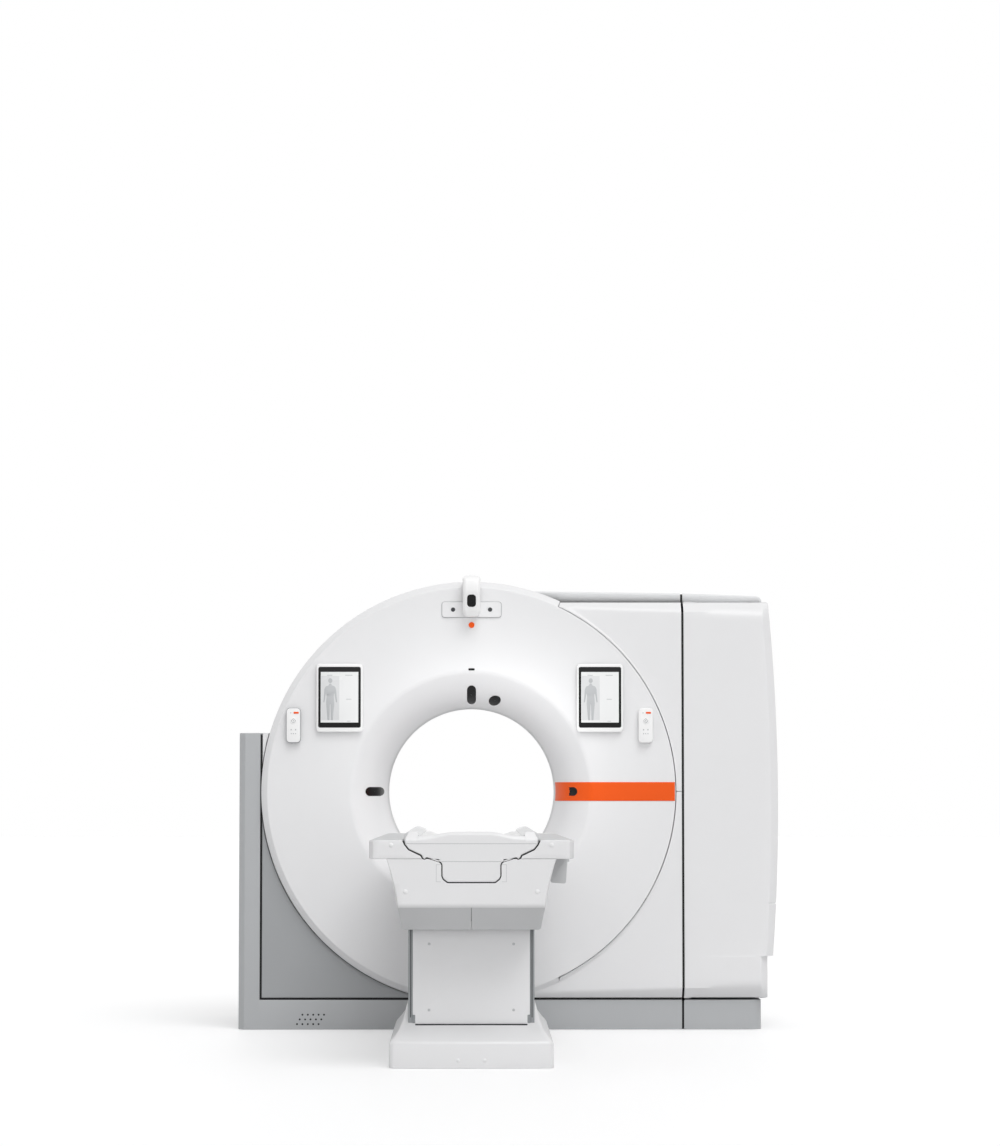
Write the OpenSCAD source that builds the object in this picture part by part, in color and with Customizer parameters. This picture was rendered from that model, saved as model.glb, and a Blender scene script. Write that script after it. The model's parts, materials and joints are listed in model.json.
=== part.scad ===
// CT scanner: ring gantry with cabinet, and a lifting patient table in front of it.
// X points right, Y points away from the table, Z up. The origin is on the floor below the scan centre.

/* [Gantry] */
// Height of the scan axis above the floor
iso_h = 970; // [940:1:1000]
// Radius of the patient bore
bore_r = 350; // [330:1:370]
// Radius of the funnel's mouth on the front face
funnel_r = 490; // [450:1:540]
// Depth of the front funnel, from the face to the throat
funnel_depth = 280; // [220:1:320]
// Radius of the rounding where the funnel meets the face
crease_r = 40; // [12:1:80]
// Distance from the scan centre to the front face
gantry_front = 480; // [460:1:520]
// Distance from the scan centre to the rear face
gantry_rear = 420; // [400:1:500]
// Radius of the rear funnel's mouth
rear_funnel_r = 450; // [400:1:520]
// Depth of the rear funnel
rear_funnel_depth = 320; // [200:1:340]
// Radius of the front cover's rim
disc_r = 861; // [845:1:875]
// Width of the rim's slope
rim_slope = 25; // [5:1:35]
// Height of the rim behind the slope
rim_h = 11; // [5:1:25]
// Radius of the drum cover behind the front cover
drum_r = 853; // [845:1:856]
// Thickness of the moulded covers
cover_t = 8; // [5:1:10]
// Thickness of the scan window tube
window_t = 6; // [4:1:8]

/* [Gantry covers] */
// Distance that the side panels lie behind the front face
panel_set = 40; // [38:1:60]
// Width of the gaps between the covers
gap = 9; // [5:1:12]
// Gap between the front cover and its neighbours
disc_gap = 3; // [2:1:5]
// Room between the front cover's rim and the left post
post_room = 5; // [4:1:12]
// Width of the left post
post_w = 87; // [70:1:88]
// Height of the left post above the scan axis
post_up = 240; // [180:1:320]
// Width of the post's sloped corner
post_slope = 24; // [8:1:40]
// Height of the plinth
plinth_h = 120; // [100:1:125]
// Distance from the scan centre to the seam before the cabinet
split_x = 866; // [864:1:890]
// Distance from the scan centre to the cabinet's right side, at its top and bottom
cabinet_x = 1221; // [1190:1:1260]
// Bulge of the cabinet's right side
cabinet_bulge = 38; // [10:1:60]
// Height of the right panels and the cabinet above the scan axis
cabinet_up = 777; // [750:1:795]
// Height of the panels' sloped edge below the scan centre
edge_near = 10; // [6:1:20]
// Height of the sloped edge at the cabinet's right side
edge_far = 50; // [35:1:70]
// Width of the cabinet's sloped front corner
corner_w = 34; // [15:1:60]
// Distance from the scan centre to the right end of the plinth
plinth_x = 1188; // [1150:1:1200]
// Corner radius of the plinth
plinth_r = 50; // [20:1:80]
// Height of the lowest side step of the cabinet
step_h = 300; // [250:1:400]
// Depth of that step
step_d = 9; // [4:1:12]
// Height of the side seam of the cabinet
side_seam_h = 511; // [450:1:600]
// Width of the seam grooves
groove = 5; // [3:1:8]
// Distance that the top cover lies behind the scan centre's front panels
top_set = 80; // [60:1:120]
// Height of the top cover at its left end
top_left_h = 49; // [40:1:60]
// Height of the top cover over the seam
top_mid_h = 40; // [30:1:50]
// Height of the lid at its right end
top_right_h = 28; // [15:1:35]
// Distance from the scan centre to the right end of the lid
lid_x = 1197; // [1150:1:1205]
// Distance from the scan centre to the left end of the top cover
top_x = 218; // [205:1:260]
// Number of air slots in the rear cover
slot_n = 12; // [4:1:16]
// Length of an air slot
slot_len = 260; // [100:10:300]
// Radius of a hole in the left sound grille
vent_r = 4; // [2:0.5:5]
// Spacing of the holes in the left sound grille
vent_pitch = 22; // [16:1:24]
// Width of the orange band
band_w = 77; // [50:1:100]
// Thickness of the band
band_t = 1.5; // [1:0.5:2]

/* [Fittings on the front] */
// Length of a laser window
laser_len = 74; // [50:1:90]
// Width of a laser window
laser_w = 37; // [25:1:45]
// Distance from the scan axis to a laser window's centre
laser_at = 398; // [390:1:410]
// Distance from the scan axis to the small sensor window
sensor_at = 500; // [490:1:540]
// Width of the camera bracket
bracket_w = 242; // [200:1:260]
// Height of the camera bracket
bracket_h = 62; // [50:1:70]
// Thickness of the camera bracket
bracket_t = 7; // [4:1:12]
// Height of the camera bracket's centre above the scan axis
bracket_at = 745; // [740:1:760]
// Distance of each bracket hole from the middle
bracket_hole_x = 76; // [60:1:90]
// Radius of the bracket holes
bracket_hole_r = 9; // [4:1:12]
// Width of the camera housing
camera_w = 74; // [50:1:90]
// Height of the camera housing
camera_h = 171; // [140:1:190]
// Depth of the camera housing
camera_d = 92; // [70:1:120]
// Height of the camera housing's foot above the scan axis
camera_at = 714; // [705:1:725]
// Width of the lens window
lens_w = 36; // [20:1:50]
// Height of the lens window
lens_h = 48; // [30:1:60]
// Radius of the status light
light_r = 12; // [6:1:15]
// Height of the status light above the scan axis
light_at = 682; // [670:1:690]
// Width of a tablet
tablet_w = 190; // [170:1:200]
// Height of a tablet
tablet_h = 280; // [260:1:290]
// Thickness of a tablet
tablet_t = 16; // [10:1:22]
// Width of a tablet's rim around the glass
tablet_rim = 10; // [6:1:14]
// Depth of the glass in the tablet
glass_t = 3; // [2:0.5:4]
// Distance of the left tablet from the scan axis
tablet_left_x = 540; // [530:1:545]
// Distance of the right tablet from the scan axis
tablet_right_x = 526; // [520:1:535]
// Height of the tablets above the scan axis
tablet_at = 382; // [375:1:390]
// Depth of the holders behind tablets and remote controls
holder_t = 6; // [4:1:10]
// Width of a remote control
remote_w = 60; // [50:1:64]
// Height of a remote control
remote_h = 143; // [130:1:150]
// Thickness of a remote control
remote_t = 18; // [14:1:24]
// Distance of the left remote control from the scan axis
remote_left_x = 728; // [700:1:735]
// Distance of the right remote control from the scan axis
remote_right_x = 713; // [700:1:722]
// Height of the remote controls above the scan axis
remote_at = 270; // [260:1:280]
// Radius of the ring pad
pad_r = 13; // [9:0.5:15]
// Height of the keys above the remote control
key_h = 1.6; // [1.2:0.1:2.5]
// Clearance around the keys
key_gap = 0.4; // [0.3:0.1:0.8]
// Depth of the keys below the remote control's face
key_in = 6; // [4:0.5:8]
// Travel of the keys
key_travel = 1; // [0.5:0.1:1.2]

/* [Rotor and drive] */
// Outer radius of the rotor
rotor_r = 800; // [780:1:812]
// Inner radius of the rotor's hub
hub_r = 385; // [382:1:390]
// Thickness of the hub
hub_t = 15; // [10:1:20]
// Thickness of the rotor plate
rotor_plate_t = 40; // [30:1:45]
// Distance from the scan centre to the rotor plate
rotor_y = 40; // [20:1:45]
// Width of the belt
belt_w = 60; // [40:1:64]
// Thickness of the belt
belt_t = 6; // [4:1:8]
// Clearance under the belt
belt_gap = 0.5; // [0.4:0.1:0.8]
// Radius of the motor pulley
pulley_r = 60; // [50:1:70]
// Distance of the motor from the scan centre, to the right
motor_x = 640; // [620:1:650]
// Depth of the motor below the scan axis
motor_drop = 640; // [630:1:660]
// Depth of the generator, front to back
generator_d = 260; // [200:1:300]
// Height of the generator
generator_h = 320; // [280:1:360]
// Width of the collimator
collimator_w = 190; // [160:1:200]
// Depth of the collimator, front to back
collimator_d = 190; // [170:1:200]
// Radial thickness of the detector's housing
detector_t = 80; // [60:1:90]
// Depth of the detector's housing, front to back
detector_d = 120; // [100:1:130]
// Radius of the motor
motor_r = 75; // [60:1:85]
// Length of the motor
motor_len = 190; // [150:1:220]
// Radius of the motor shaft
shaft_r = 14; // [10:1:20]
// Radial clearance of bearings and journals
fit = 0.05; // [0.03:0.01:0.08]
// Thickness of each bearing ring
bearing_t = 35; // [25:1:45]
// Width of the main bearing
bearing_w = 50; // [40:1:56]
// Thickness of the stator frame
stator_t = 40; // [30:1:50]
// Outer radius of the stator frame
stator_r = 760; // [700:1:780]
// Outer radius of the slip ring
slip_r = 540; // [500:1:560]
// Width of the slip ring
slip_w = 90; // [60:1:100]
// Radius of the X-ray tube's housing
tube_r = 110; // [90:1:120]
// Length of the X-ray tube's housing
tube_len = 330; // [250:1:340]

/* [Floor] */
// Height of the base frame's beams
beam_h = 100; // [80:1:104]
// Width of the base frame's beams
beam_w = 80; // [60:1:100]
// Radius of the gantry's anchor holes
anchor_r = 9; // [7:0.5:12]
// Spacing of the gantry's anchor holes, left to right
anchor_x = 1560; // [1500:10:1600]
// Spacing of the gantry's anchor holes, front to back
anchor_y = 560; // [500:10:580]
// Radius of the table's anchor holes
table_anchor_r = 7; // [5:0.5:9]
// Spacing of the table's anchor holes, left to right
table_anchor_x = 420; // [400:10:440]
// Spacing of the table's anchor holes, front to back
table_anchor_y = 1000; // [960:10:1020]

/* [Table] */
// Distance from the scan centre to the table's foot end
table_foot = 2627; // [2600:1:2660]
// Length of the table body
table_len = 1987; // [1900:1:2020]
// Height of the table's deck line at rest
deck_h = 788; // [780:1:800]
// Distance from the deck line up to the top of the wings
wing_up = 14; // [8:1:20]
// Distance from the deck line down to the bottom of the wings
wing_down = 52; // [48:1:60]
// Half width of the table over its wings
wing_x = 358; // [340:1:380]
// Narrowing of each wing towards the gantry
wing_taper = 18; // [0:1:30]
// Half width of the table body under the wings
body_x = 296; // [290:1:305]
// Half width of the table body at its lower edge
body_low_x = 253; // [248:1:258]
// Depth of the table body below the deck line
body_down = 221; // [215:1:230]
// Half width of the skirt at its lower edge
skirt_x = 244; // [242:1:250]
// Depth of the skirt below the deck line
skirt_down = 305; // [300:1:308]
// Distance that the skirt's foot end slopes back
skirt_back = 197; // [150:1:220]
// Length of the skirt's flat lower edge
skirt_len = 1090; // [1060:1:1140]
// Wall of the table covers
table_t = 6; // [4:1:8]
// Gap around the moving tabletop
top_gap = 8; // [5:1:10]
// Half width of the tabletop
top_half = 235; // [225:1:240]
// Height of the tabletop's rims above the deck line
rim_up = 42; // [36:1:48]
// Depth of the tabletop's dish below the deck line
dish_down = 31; // [26:1:34]
// Radius of the tabletop's dish
dish_r = 305; // [300:1:330]
// Depth of the tabletop's underside below the deck line
under_down = 50; // [44:1:51]
// Length of the tabletop
top_len = 2044; // [2000:1:2100]
// Depth of the foot end cap
cap_d = 34; // [25:1:50]
// Height of the end cap's crown above the deck line
cap_up = 42; // [40:1:44]
// Half width between the end cap's corner blocks
cap_open = 187; // [180:1:190]
// Length of the carriage under the tabletop
carriage_len = 260; // [200:1:280]
// Half width of the mattress
mat_half = 180; // [170:1:184]
// Thickness of the mattress at its middle
mat_t = 20; // [18:1:24]
// Radius of the mattress's hollow top
mat_r = 390; // [380:1:400]
// Free length of the tabletop at each end of the mattress
mat_end = 40; // [20:1:80]
// Upward stroke of the table from rest
lift_up = 40; // [20:1:50]
// Downward stroke of the table from rest
lift_down = 250; // [200:1:250]
// Radius of the support roller
roller_r = 25; // [20:1:27]
// Distance from the table's gantry end to the support roller
roller_in = 50; // [45:1:60]
// Radius of the support roller's journals
journal_r = 8; // [6:0.5:10]

/* [Pedestal] */
// Half width of the base cover
base_x = 290; // [285:1:310]
// Distance that the base cover's foot end lies inside the table's foot end
base_in = 177; // [160:1:190]
// Length of the base cover
base_len = 1230; // [1220:1:1260]
// Height of the base cover's upright sides
base_side_h = 88; // [80:1:95]
// Height of the base cover at the front plate
base_front_h = 143; // [138:1:150]
// Height of the base cover's shoulders beside the pedestal
shoulder_h = 215; // [190:1:225]
// Half width of the pedestal
stage_x = 224; // [220:1:226]
// Length of the pedestal
stage_len = 880; // [800:1:900]
// Distance from the table's foot end to the front plate
stage_in = 297; // [290:1:310]
// Half width of the front plate
plate_x = 208; // [200:1:212]
// Thickness of the front plate
plate_t = 6; // [4:1:10]
// Height of the front plate's lower edge at rest
plate_low = 148; // [146:1:152]
// Height of the pedestal that the skirt hides at rest
stage_hidden = 27; // [23:1:28]
// Wall of the pedestal
stage_t = 5; // [3:1:6]
// Clearance between the base cover and the pedestal
stage_gap = 3; // [2:1:5]
// Half width of the fixed lift column
column_x = 90; // [80:1:100]
// Length of the fixed lift column
column_len = 220; // [180:1:240]
// Wall of each lift column
column_t = 8; // [6:1:9]
// Clearance between the lift columns
column_gap = 0.3; // [0.3:0.1:0.8]
// Distance that the fixed lift column stays below the pedestal's top at rest
column_down = 160; // [150:1:180]
// Thickness of the table's floor plate
floor_t = 12; // [8:1:15]
// Width of the floor duct
duct_w = 300; // [200:1:340]
// Height of the floor duct
duct_h = 60; // [40:1:80]

/* [Hidden] */

e = 1;                                   // overshoot of a cut
left_w = disc_r + post_room + post_w;
post_h = iso_h + post_up;
cabinet_top = iso_h + cabinet_up;
motor_z = iso_h - motor_drop;
face_y = -gantry_front;
throat_y = face_y + funnel_depth;
rear_y = gantry_rear;
rear_throat_y = rear_y - rear_funnel_depth;
panel_y = face_y + panel_set;
rim_back_y = face_y + rim_slope + rim_h;
tray_y = face_y + top_set;
wall_y = rear_y - cover_t;               // where the side covers meet the rear cover
low_z = plinth_h + gap;                  // lower edge of the panels
funnel_arc = (pow(funnel_r - bore_r, 2) + pow(funnel_depth, 2)) / (2 * (funnel_r - bore_r));
rear_arc = (pow(rear_funnel_r - bore_r, 2) + pow(rear_funnel_depth, 2)) / (2 * (rear_funnel_r - bore_r));
edge_slope = (edge_far - edge_near) / cabinet_x;
trim_x = 360;                            // right of this the front cover lies flush in its panels
face_r = disc_r - rim_slope;
proud = 0.3;                             // seat clearance of what is fitted on the funnel
bulge_r = (pow(cabinet_top - low_z, 2) / 4 + pow(cabinet_bulge, 2)) / (2 * cabinet_bulge);
left_x = -left_w;
post_x = left_x + post_w;

foot_y = -table_foot;
end_y = foot_y + table_len;
wing_z = deck_h - wing_down;
body_z = deck_h - body_down;
skirt_z = deck_h - skirt_down;
stage_top = skirt_z + stage_hidden;
column_h = stage_top - column_down;
floor_z = deck_h - 139;                  // floor of the trough under the carriage
stage_y = foot_y + stage_in;
stage_back = stage_y + stage_len;
base_y = foot_y + base_in;
base_back = base_y + base_len;
column_y = stage_y + stage_len / 2;
roller_y = end_y - roller_in;
roller_z = deck_h - under_down - proud - roller_r;
carriage_y = foot_y + cap_d;

white = "#ECECEC";
shade = "#D9DADB";
grey = "#AEB0B2";
black = "#1E1F20";
steel = "#8C9094";

function arc(x, y, r, a0, a1, n) =
    [for (i = [0:n]) [x + r * cos(a0 + (a1 - a0) * i / n), y + r * sin(a0 + (a1 - a0) * i / n)]];
function panel_front(x) = panel_y - edge_near - edge_slope * x;
function flip(pts) = [for (i = [len(pts) - 1:-1:0]) [-pts[i][0], pts[i][1]]];

// Outlines swept along one axis
module slab_y(y0, y1) translate([0, y1, 0]) rotate([90, 0, 0]) linear_extrude(y1 - y0) children();
module slab_x(x0, x1) translate([x0, 0, 0]) rotate([90, 0, 90]) linear_extrude(x1 - x0) children();
module slab_z(z0, z1) translate([0, 0, z0]) linear_extrude(z1 - z0) children();
module block(a, b) translate(a) cube(b - a);
module about_bore() translate([0, 0, iso_h]) rotate([-90, 0, 0]) children();
module ring_y(r0, r1, y0, y1) about_bore() translate([0, 0, y0]) linear_extrude(y1 - y0) difference() {
    circle(r1, $fn = 180);
    circle(r0, $fn = 180);
}
module pin_y(x, z, r, y0, y1) translate([x, y1, z]) rotate([90, 0, 0]) cylinder(r = r, h = y1 - y0, $fn = 48);
module pill(l, w) {
    square([l - w, w], center = true);
    for (s = [-1, 1]) translate([s * (l - w) / 2, 0]) circle(w / 2, $fn = 32);
}
module rounded(w, h, r) {
    square([w - 2 * r, h], center = true);
    square([w, h - 2 * r], center = true);
    for (sx = [-1, 1], sy = [-1, 1]) translate([sx * (w / 2 - r), sy * (h / 2 - r)]) circle(r, $fn = 32);
}
module bore_disc(r) translate([0, iso_h]) circle(r, $fn = 360);

// Front cover: section in radius and depth, drawn in by s
module front_region(s, rim, slope) {
    back = throat_y + (s > 0 ? e : 0);
    fd = face_y + crease_r;
    fr = bore_r + funnel_arc - sqrt(pow(funnel_arc - crease_r, 2) - pow(throat_y - fd, 2));
    u = [fr - bore_r - funnel_arc, fd - throat_y] / (funnel_arc - crease_r);
    flat = (crease_r - s) * tan(acos(-u[1]) / 2);
    k = s * tan(22.5);
    difference() {
        intersection() {
            translate([bore_r + funnel_arc, throat_y]) circle(funnel_arc - s, $fn = 180);
            polygon([[0, back], [0, face_y + s], [rim - slope - k, face_y + s],
                [rim - s, face_y + slope + k], [rim - s, back]]);
        }
        difference() {
            polygon([[fr, fd] + u * (crease_r - s), [fr - flat, face_y + s], [fr, face_y + s]]);
            translate([fr, fd]) circle(crease_r - s, $fn = 48);
        }
    }
}
module front_shell(rim, slope) about_bore() rotate_extrude($fn = 180) difference() {
    front_region(0, rim, slope);
    front_region(cover_t, rim, slope);
    translate([rim - 3 * cover_t, rim_back_y]) square([4 * cover_t, throat_y - rim_back_y + 2 * e]);
}
module front_cover() color(white) difference() {
    front_shell(disc_r, rim_slope);
    slab_y(face_y - e, throat_y) difference() {
        translate([trim_x, 0]) square([disc_r, 2 * iso_h]);
        bore_disc(face_r);
    }
}
module front_proud(a, b) about_bore() rotate_extrude($fn = 180) difference() {
    front_region(-b, face_r, 0);
    front_region(-a, face_r, 0);
    translate([0, throat_y - e]) square([disc_r, 3 * e]);
}
module laser_outlines(grow) {
    for (a = [0, 90, 180])
        translate([laser_at * cos(a), iso_h + laser_at * sin(a)]) rotate(a) pill(laser_len + 2 * grow, laser_w + 2 * grow);
}
module side_band() color("#EB5F1E") slab_y(face_y - proud - band_t, face_y - proud)
    translate([funnel_r + crease_r / 2, iso_h - band_w / 2]) square([face_r - funnel_r - crease_r / 2 - 5, band_w]);
module laser_windows() color(black) intersection() {
    front_proud(proud, proud + 2 * band_t);
    slab_y(face_y - 9, throat_y) {
        laser_outlines(0);
        translate([96, iso_h + 375]) rotate(12) scale([1.28, 1]) circle(19.5, $fn = 12);
        translate([0, iso_h + sensor_at]) pill(26, 9);
    }
}
module scan_window() color("#E4E6E8") ring_y(bore_r, bore_r + window_t, throat_y, rear_throat_y);

// Left side: grey post and plinth in one, with the panels behind the rim
module left_frame_cover() color(grey) difference() {
    union() {
        slab_z(0, post_h) polygon([[left_x, panel_y + post_slope], [left_x + post_slope, panel_y],
            [post_x, panel_y], [post_x, wall_y], [left_x, wall_y]]);
        block([post_x - e, panel_y, 0], [split_x - gap / 2, tray_y + 20, plinth_h]);
        block([post_x - e, panel_y + cover_t, post_h - cover_t], [-drum_r + 53, wall_y, post_h]);
    }
    slab_z(-e, post_h - cover_t) polygon([[left_x + cover_t, panel_y + post_slope + cover_t * 0.41],
        [left_x + post_slope + cover_t * 0.41, panel_y + cover_t], [post_x + e, panel_y + cover_t],
        [post_x + e, wall_y + e], [left_x + cover_t, wall_y + e]]);
    block([post_x - 2 * e, panel_y + cover_t, -e], [split_x, tray_y + 20 + e, plinth_h - cover_t]);
    for (i = [-2:2], j = [-1:1])
        pin_y(-657 + (i + j / 2) * vent_pitch, 0.34 * plinth_h + j * vent_pitch * 0.87, vent_r, panel_y - e, panel_y + cover_t + e);
}
module left_panel_outline(z0, z1, s) difference() {
    translate([post_x + gap + s, z0 + s]) square([left_w, z1 - z0 - 2 * s]);
    bore_disc(disc_r + disc_gap + s);
    translate([0, 0]) square([left_w, 2 * iso_h]);
}
module left_panel(z0, z1) difference() {
    slab_y(panel_y, panel_y + 3 * cover_t) left_panel_outline(z0, z1, 0);
    slab_y(panel_y + cover_t, panel_y + 4 * cover_t) left_panel_outline(z0, z1, cover_t);
}
module left_lower_panel() color("#A2A5A7") left_panel(low_z, iso_h - 2);
module left_upper_panel() color(white) slab_y(panel_y, panel_y + cover_t)
    left_panel_outline(iso_h + 2, post_h - cover_t - 2, 0);

// Right side: panels and cabinet whose front swells to the right, with sloped edges top and bottom
module swell(x0, x1, s, back) intersection() {
    slab_x(x0, x1) polygon([[back, low_z + s], [panel_y, low_z + s + s * 0.41],
        [panel_y - 150, low_z + 150 + 1.41 * s], [panel_y - 150, cabinet_top - 150 - 1.41 * s],
        [panel_y, cabinet_top - s - s * 0.41], [back, cabinet_top - s]]);
    slab_z(low_z - e, cabinet_top + e) polygon([[x0 - e, back], [x0 - e, panel_front(x0 - e) + s],
        [x1 + e, panel_front(x1 + e) + s], [x1 + e, back]]);
}
module disc_cut(s) {
    slab_y(face_y - 60, tray_y + 29) difference() {
        bore_disc(face_r + disc_gap + s);
        translate([-disc_r, 0]) square([disc_r + trim_x - e, 2 * iso_h]);
    }
    slab_y(face_y - 60, tray_y + 29) intersection() {
        bore_disc(disc_r + disc_gap + s);
        translate([-disc_r, 0]) square([disc_r + trim_x + disc_gap + s, 2 * iso_h]);
    }
}
module right_panel(z0, z1) intersection() {
    difference() {
        swell(1, split_x - gap / 2, 0, tray_y + 20);
        difference() {
            swell(1 + cover_t, split_x - gap / 2 - cover_t, cover_t, tray_y + 20 + e);
            disc_cut(cover_t);
        }
        disc_cut(0);
    }
    block([0, face_y - 99, z0], [split_x, tray_y + 29, z1]);
}
module right_panel_lower() color(white) right_panel(0, iso_h - 1);
module right_panel_upper() color(white) right_panel(iso_h + 1, cabinet_top + 1);
module bulge_disc(s) translate([cabinet_x + cabinet_bulge - bulge_r, (cabinet_top + low_z) / 2])
    circle(bulge_r - s, $fn = 720);
module cabinet_solid(s) {
    x1 = cabinet_x + cabinet_bulge;
    cut = corner_w + s * 0.59;
    difference() {
        intersection() {
            swell(split_x + gap / 2 - (s > 0 ? e : 0), x1 + e, s, wall_y + (s > 0 ? e : 0));
            slab_y(face_y - 99, wall_y + 2 * e) bulge_disc(s);
        }
        slab_z(0, 2 * iso_h) polygon([[x1 - s + e, panel_front(x1) + s + cut * 1.4 + e],
            [x1 - s + e, panel_front(x1) - 99], [x1 - s - cut - 90, panel_front(x1) - 99],
            [x1 - s - cut, panel_front(x1) + s - e]]);
        if (s == 0) {
            block([cabinet_x - step_d, -2000, 0], [x1 + e, wall_y + e, step_h]);
        }
    }
}
module cabinet_cover() color(white) difference() {
    cabinet_solid(0);
    difference() {
        cabinet_solid(cover_t);
        block([cabinet_x - step_d - cover_t, -2000, 0], [cabinet_x + 2 * cabinet_bulge, wall_y + 9, step_h + cover_t]);
    }
    slab_y(panel_front(cabinet_x) + 60, wall_y - 40) difference() {
        translate([cabinet_x, side_seam_h]) square([2 * cabinet_bulge, groove]);
        bulge_disc(3);
    }
}
module plinth_plan(s) polygon(concat([[split_x + gap / 2 - (s > 0 ? e : 0), wall_y + (s > 0 ? e : 0)],
    [split_x + gap / 2 - (s > 0 ? e : 0), panel_y + s]],
    arc(plinth_x - plinth_r, panel_y + plinth_r, plinth_r - s, -90, 0, 8),
    [[plinth_x - s, wall_y + (s > 0 ? e : 0)]]));
module cabinet_plinth() color(grey) difference() {
    slab_z(0, plinth_h) plinth_plan(0);
    slab_z(-e, plinth_h - cover_t) plinth_plan(cover_t);
}
// Top covers and the round skin of the drum
module lid_outline(x0, x1, h0, h1, s) polygon([[x0 + s, cabinet_top - (s > 0 ? e : 0)], [x0 + s, cabinet_top + h0 - s],
    [x1 - s, cabinet_top + h1 - s], [x1 - s, cabinet_top - (s > 0 ? e : 0)]]);
module lid(x0, x1, h0, h1) difference() {
    slab_y(tray_y, wall_y) lid_outline(x0, x1, h0, h1, 0);
    slab_y(tray_y + cover_t, wall_y - cover_t) lid_outline(x0, x1, h0, h1, cover_t);
}
module top_cover() color("#CDCECF") lid(top_x, split_x - gap / 2, top_left_h, top_mid_h);
module cabinet_lid() color("#CDCECF") intersection() {
    lid(split_x + gap / 2, lid_x, top_mid_h, top_right_h);
    slab_y(tray_y - e, wall_y + e) polygon([[0, 0], [0, 3 * iso_h], [lid_x - 40, 3 * iso_h],
        [lid_x - 40, cabinet_top + top_right_h + 20], [lid_x, cabinet_top + top_right_h - 12], [lid_x, 0]]);
}
module drum_cover() color(white) intersection() {
    ring_y(drum_r - cover_t, drum_r, rim_back_y + 1, wall_y);
    block([-drum_r - e, face_y, post_h], [top_x - 1, rear_y, iso_h + drum_r + e]);
}
module rear_outline() {
    bore_disc(drum_r);
    translate([left_x, 0]) square([left_w, post_h]);
    square([plinth_x, cabinet_top]);
    intersection() {
        translate([0, low_z]) square([2 * cabinet_x, cabinet_top - low_z]);
        bulge_disc(0);
        translate([0, step_h]) square([2 * cabinet_x, 2 * cabinet_top]);
    }
    translate([0, low_z]) square([cabinet_x - step_d, step_h]);
}
module rear_cover() color(white) {
    ring_out = rear_funnel_r + 60;
    about_bore() rotate_extrude($fn = 180) difference() {
        intersection() {
            translate([bore_r + rear_arc, rear_throat_y]) circle(rear_arc, $fn = 180);
            translate([0, rear_throat_y]) square([ring_out, rear_funnel_depth]);
        }
        intersection() {
            translate([bore_r + rear_arc, rear_throat_y]) circle(rear_arc - cover_t, $fn = 180);
            translate([0, rear_throat_y - e]) square([ring_out + e, rear_funnel_depth - cover_t + e]);
        }
    }
    difference() {
        slab_y(wall_y, rear_y) rear_outline();
        slab_y(wall_y - e, rear_y + e) bore_disc(ring_out - e);
        for (i = [0:slot_n - 1])
            slab_y(wall_y - e, rear_y + e) translate([0.72 * cabinet_x + 260 * (i + 0.5) / slot_n, 0.5 * iso_h])
                rotate(90) pill(slot_len, 9);
    }
}
module gap_seal() color(black) {
    y = panel_y + cover_t;
    block([post_x - cover_t, y, plinth_h], [post_x + gap, y + 4, post_h - cover_t - 2]);
    block([post_x + gap, y, plinth_h], [split_x - gap / 2, y + 4, low_z]);
    block([split_x - gap / 2 - cover_t, y, 2], [split_x + gap / 2 + cover_t, y + 4, plinth_h - cover_t]);
    block([split_x - gap / 2, panel_front(split_x) + cover_t, low_z + 45], [split_x + gap / 2, panel_front(split_x) + cover_t + 4, cabinet_top - 45]);
    block([split_x - gap / 2, tray_y + 2, cabinet_top], [split_x + gap / 2, tray_y + 6, cabinet_top + top_mid_h - 4]);
}

// Camera, light, tablets and remote controls
module on_face(x, z, y0, y1) translate([x, 0, iso_h + z]) slab_y(face_y + y0, face_y + y1) children();
module camera_bracket() color(white) on_face(0, bracket_at, -bracket_t, 0) difference() {
    rounded(bracket_w, bracket_h, 6);
    for (s = [-1, 1]) translate([s * bracket_hole_x, 0]) circle(bracket_hole_r, $fn = 32);
}
module camera_housing() color(white) translate([0, 0, iso_h + camera_at]) difference() {
    intersection() {
        slab_y(face_y - bracket_t - camera_d, face_y - bracket_t) translate([0, camera_h / 2]) {
            rounded(camera_w, camera_h, 12);
            translate([0, camera_h / 2 - camera_w / 2]) rounded(camera_w, camera_w, 30);
        }
        slab_x(-camera_w, camera_w) translate([face_y - bracket_t, 0])
            polygon([[1, 0], [-0.62 * camera_d, 0], [-0.8 * camera_d, 20], [-camera_d, camera_h - 70],
                [-0.95 * camera_d, camera_h - 20], [-0.75 * camera_d, camera_h], [1, camera_h]]);
    }
    slab_y(face_y - bracket_t - 2 * camera_d, face_y - bracket_t - 0.8 * camera_d + 6)
        translate([0, 0.38 * camera_h]) rounded(lens_w + 1, lens_h + 1, 12);
}
module camera_lens() color(black) translate([0, 0, iso_h + camera_at]) intersection() {
    slab_y(face_y - bracket_t - camera_d, face_y - bracket_t - 0.8 * camera_d + 5.7)
        translate([0, 0.38 * camera_h]) rounded(lens_w, lens_h, 12);
    slab_x(-camera_w, camera_w) translate([face_y - bracket_t, 0])
        polygon([[0, 0], [-0.62 * camera_d + 3, 0], [-0.8 * camera_d + 2, 20], [-camera_d + 2, camera_h - 70], [0, camera_h]]);
}
module status_light() color("#EB5F1E") pin_y(0, iso_h + light_at, light_r, face_y - 4, face_y);
module wall_holders() color(white) {
    for (x = [-tablet_left_x, tablet_right_x])
        on_face(x, tablet_at, -holder_t, 0) rounded(tablet_w - 50, tablet_h - 60, 12);
    for (x = [-remote_left_x, remote_right_x])
        on_face(x, remote_at, -holder_t, 0) rounded(remote_w - 14, remote_h - 20, 10);
}
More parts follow.
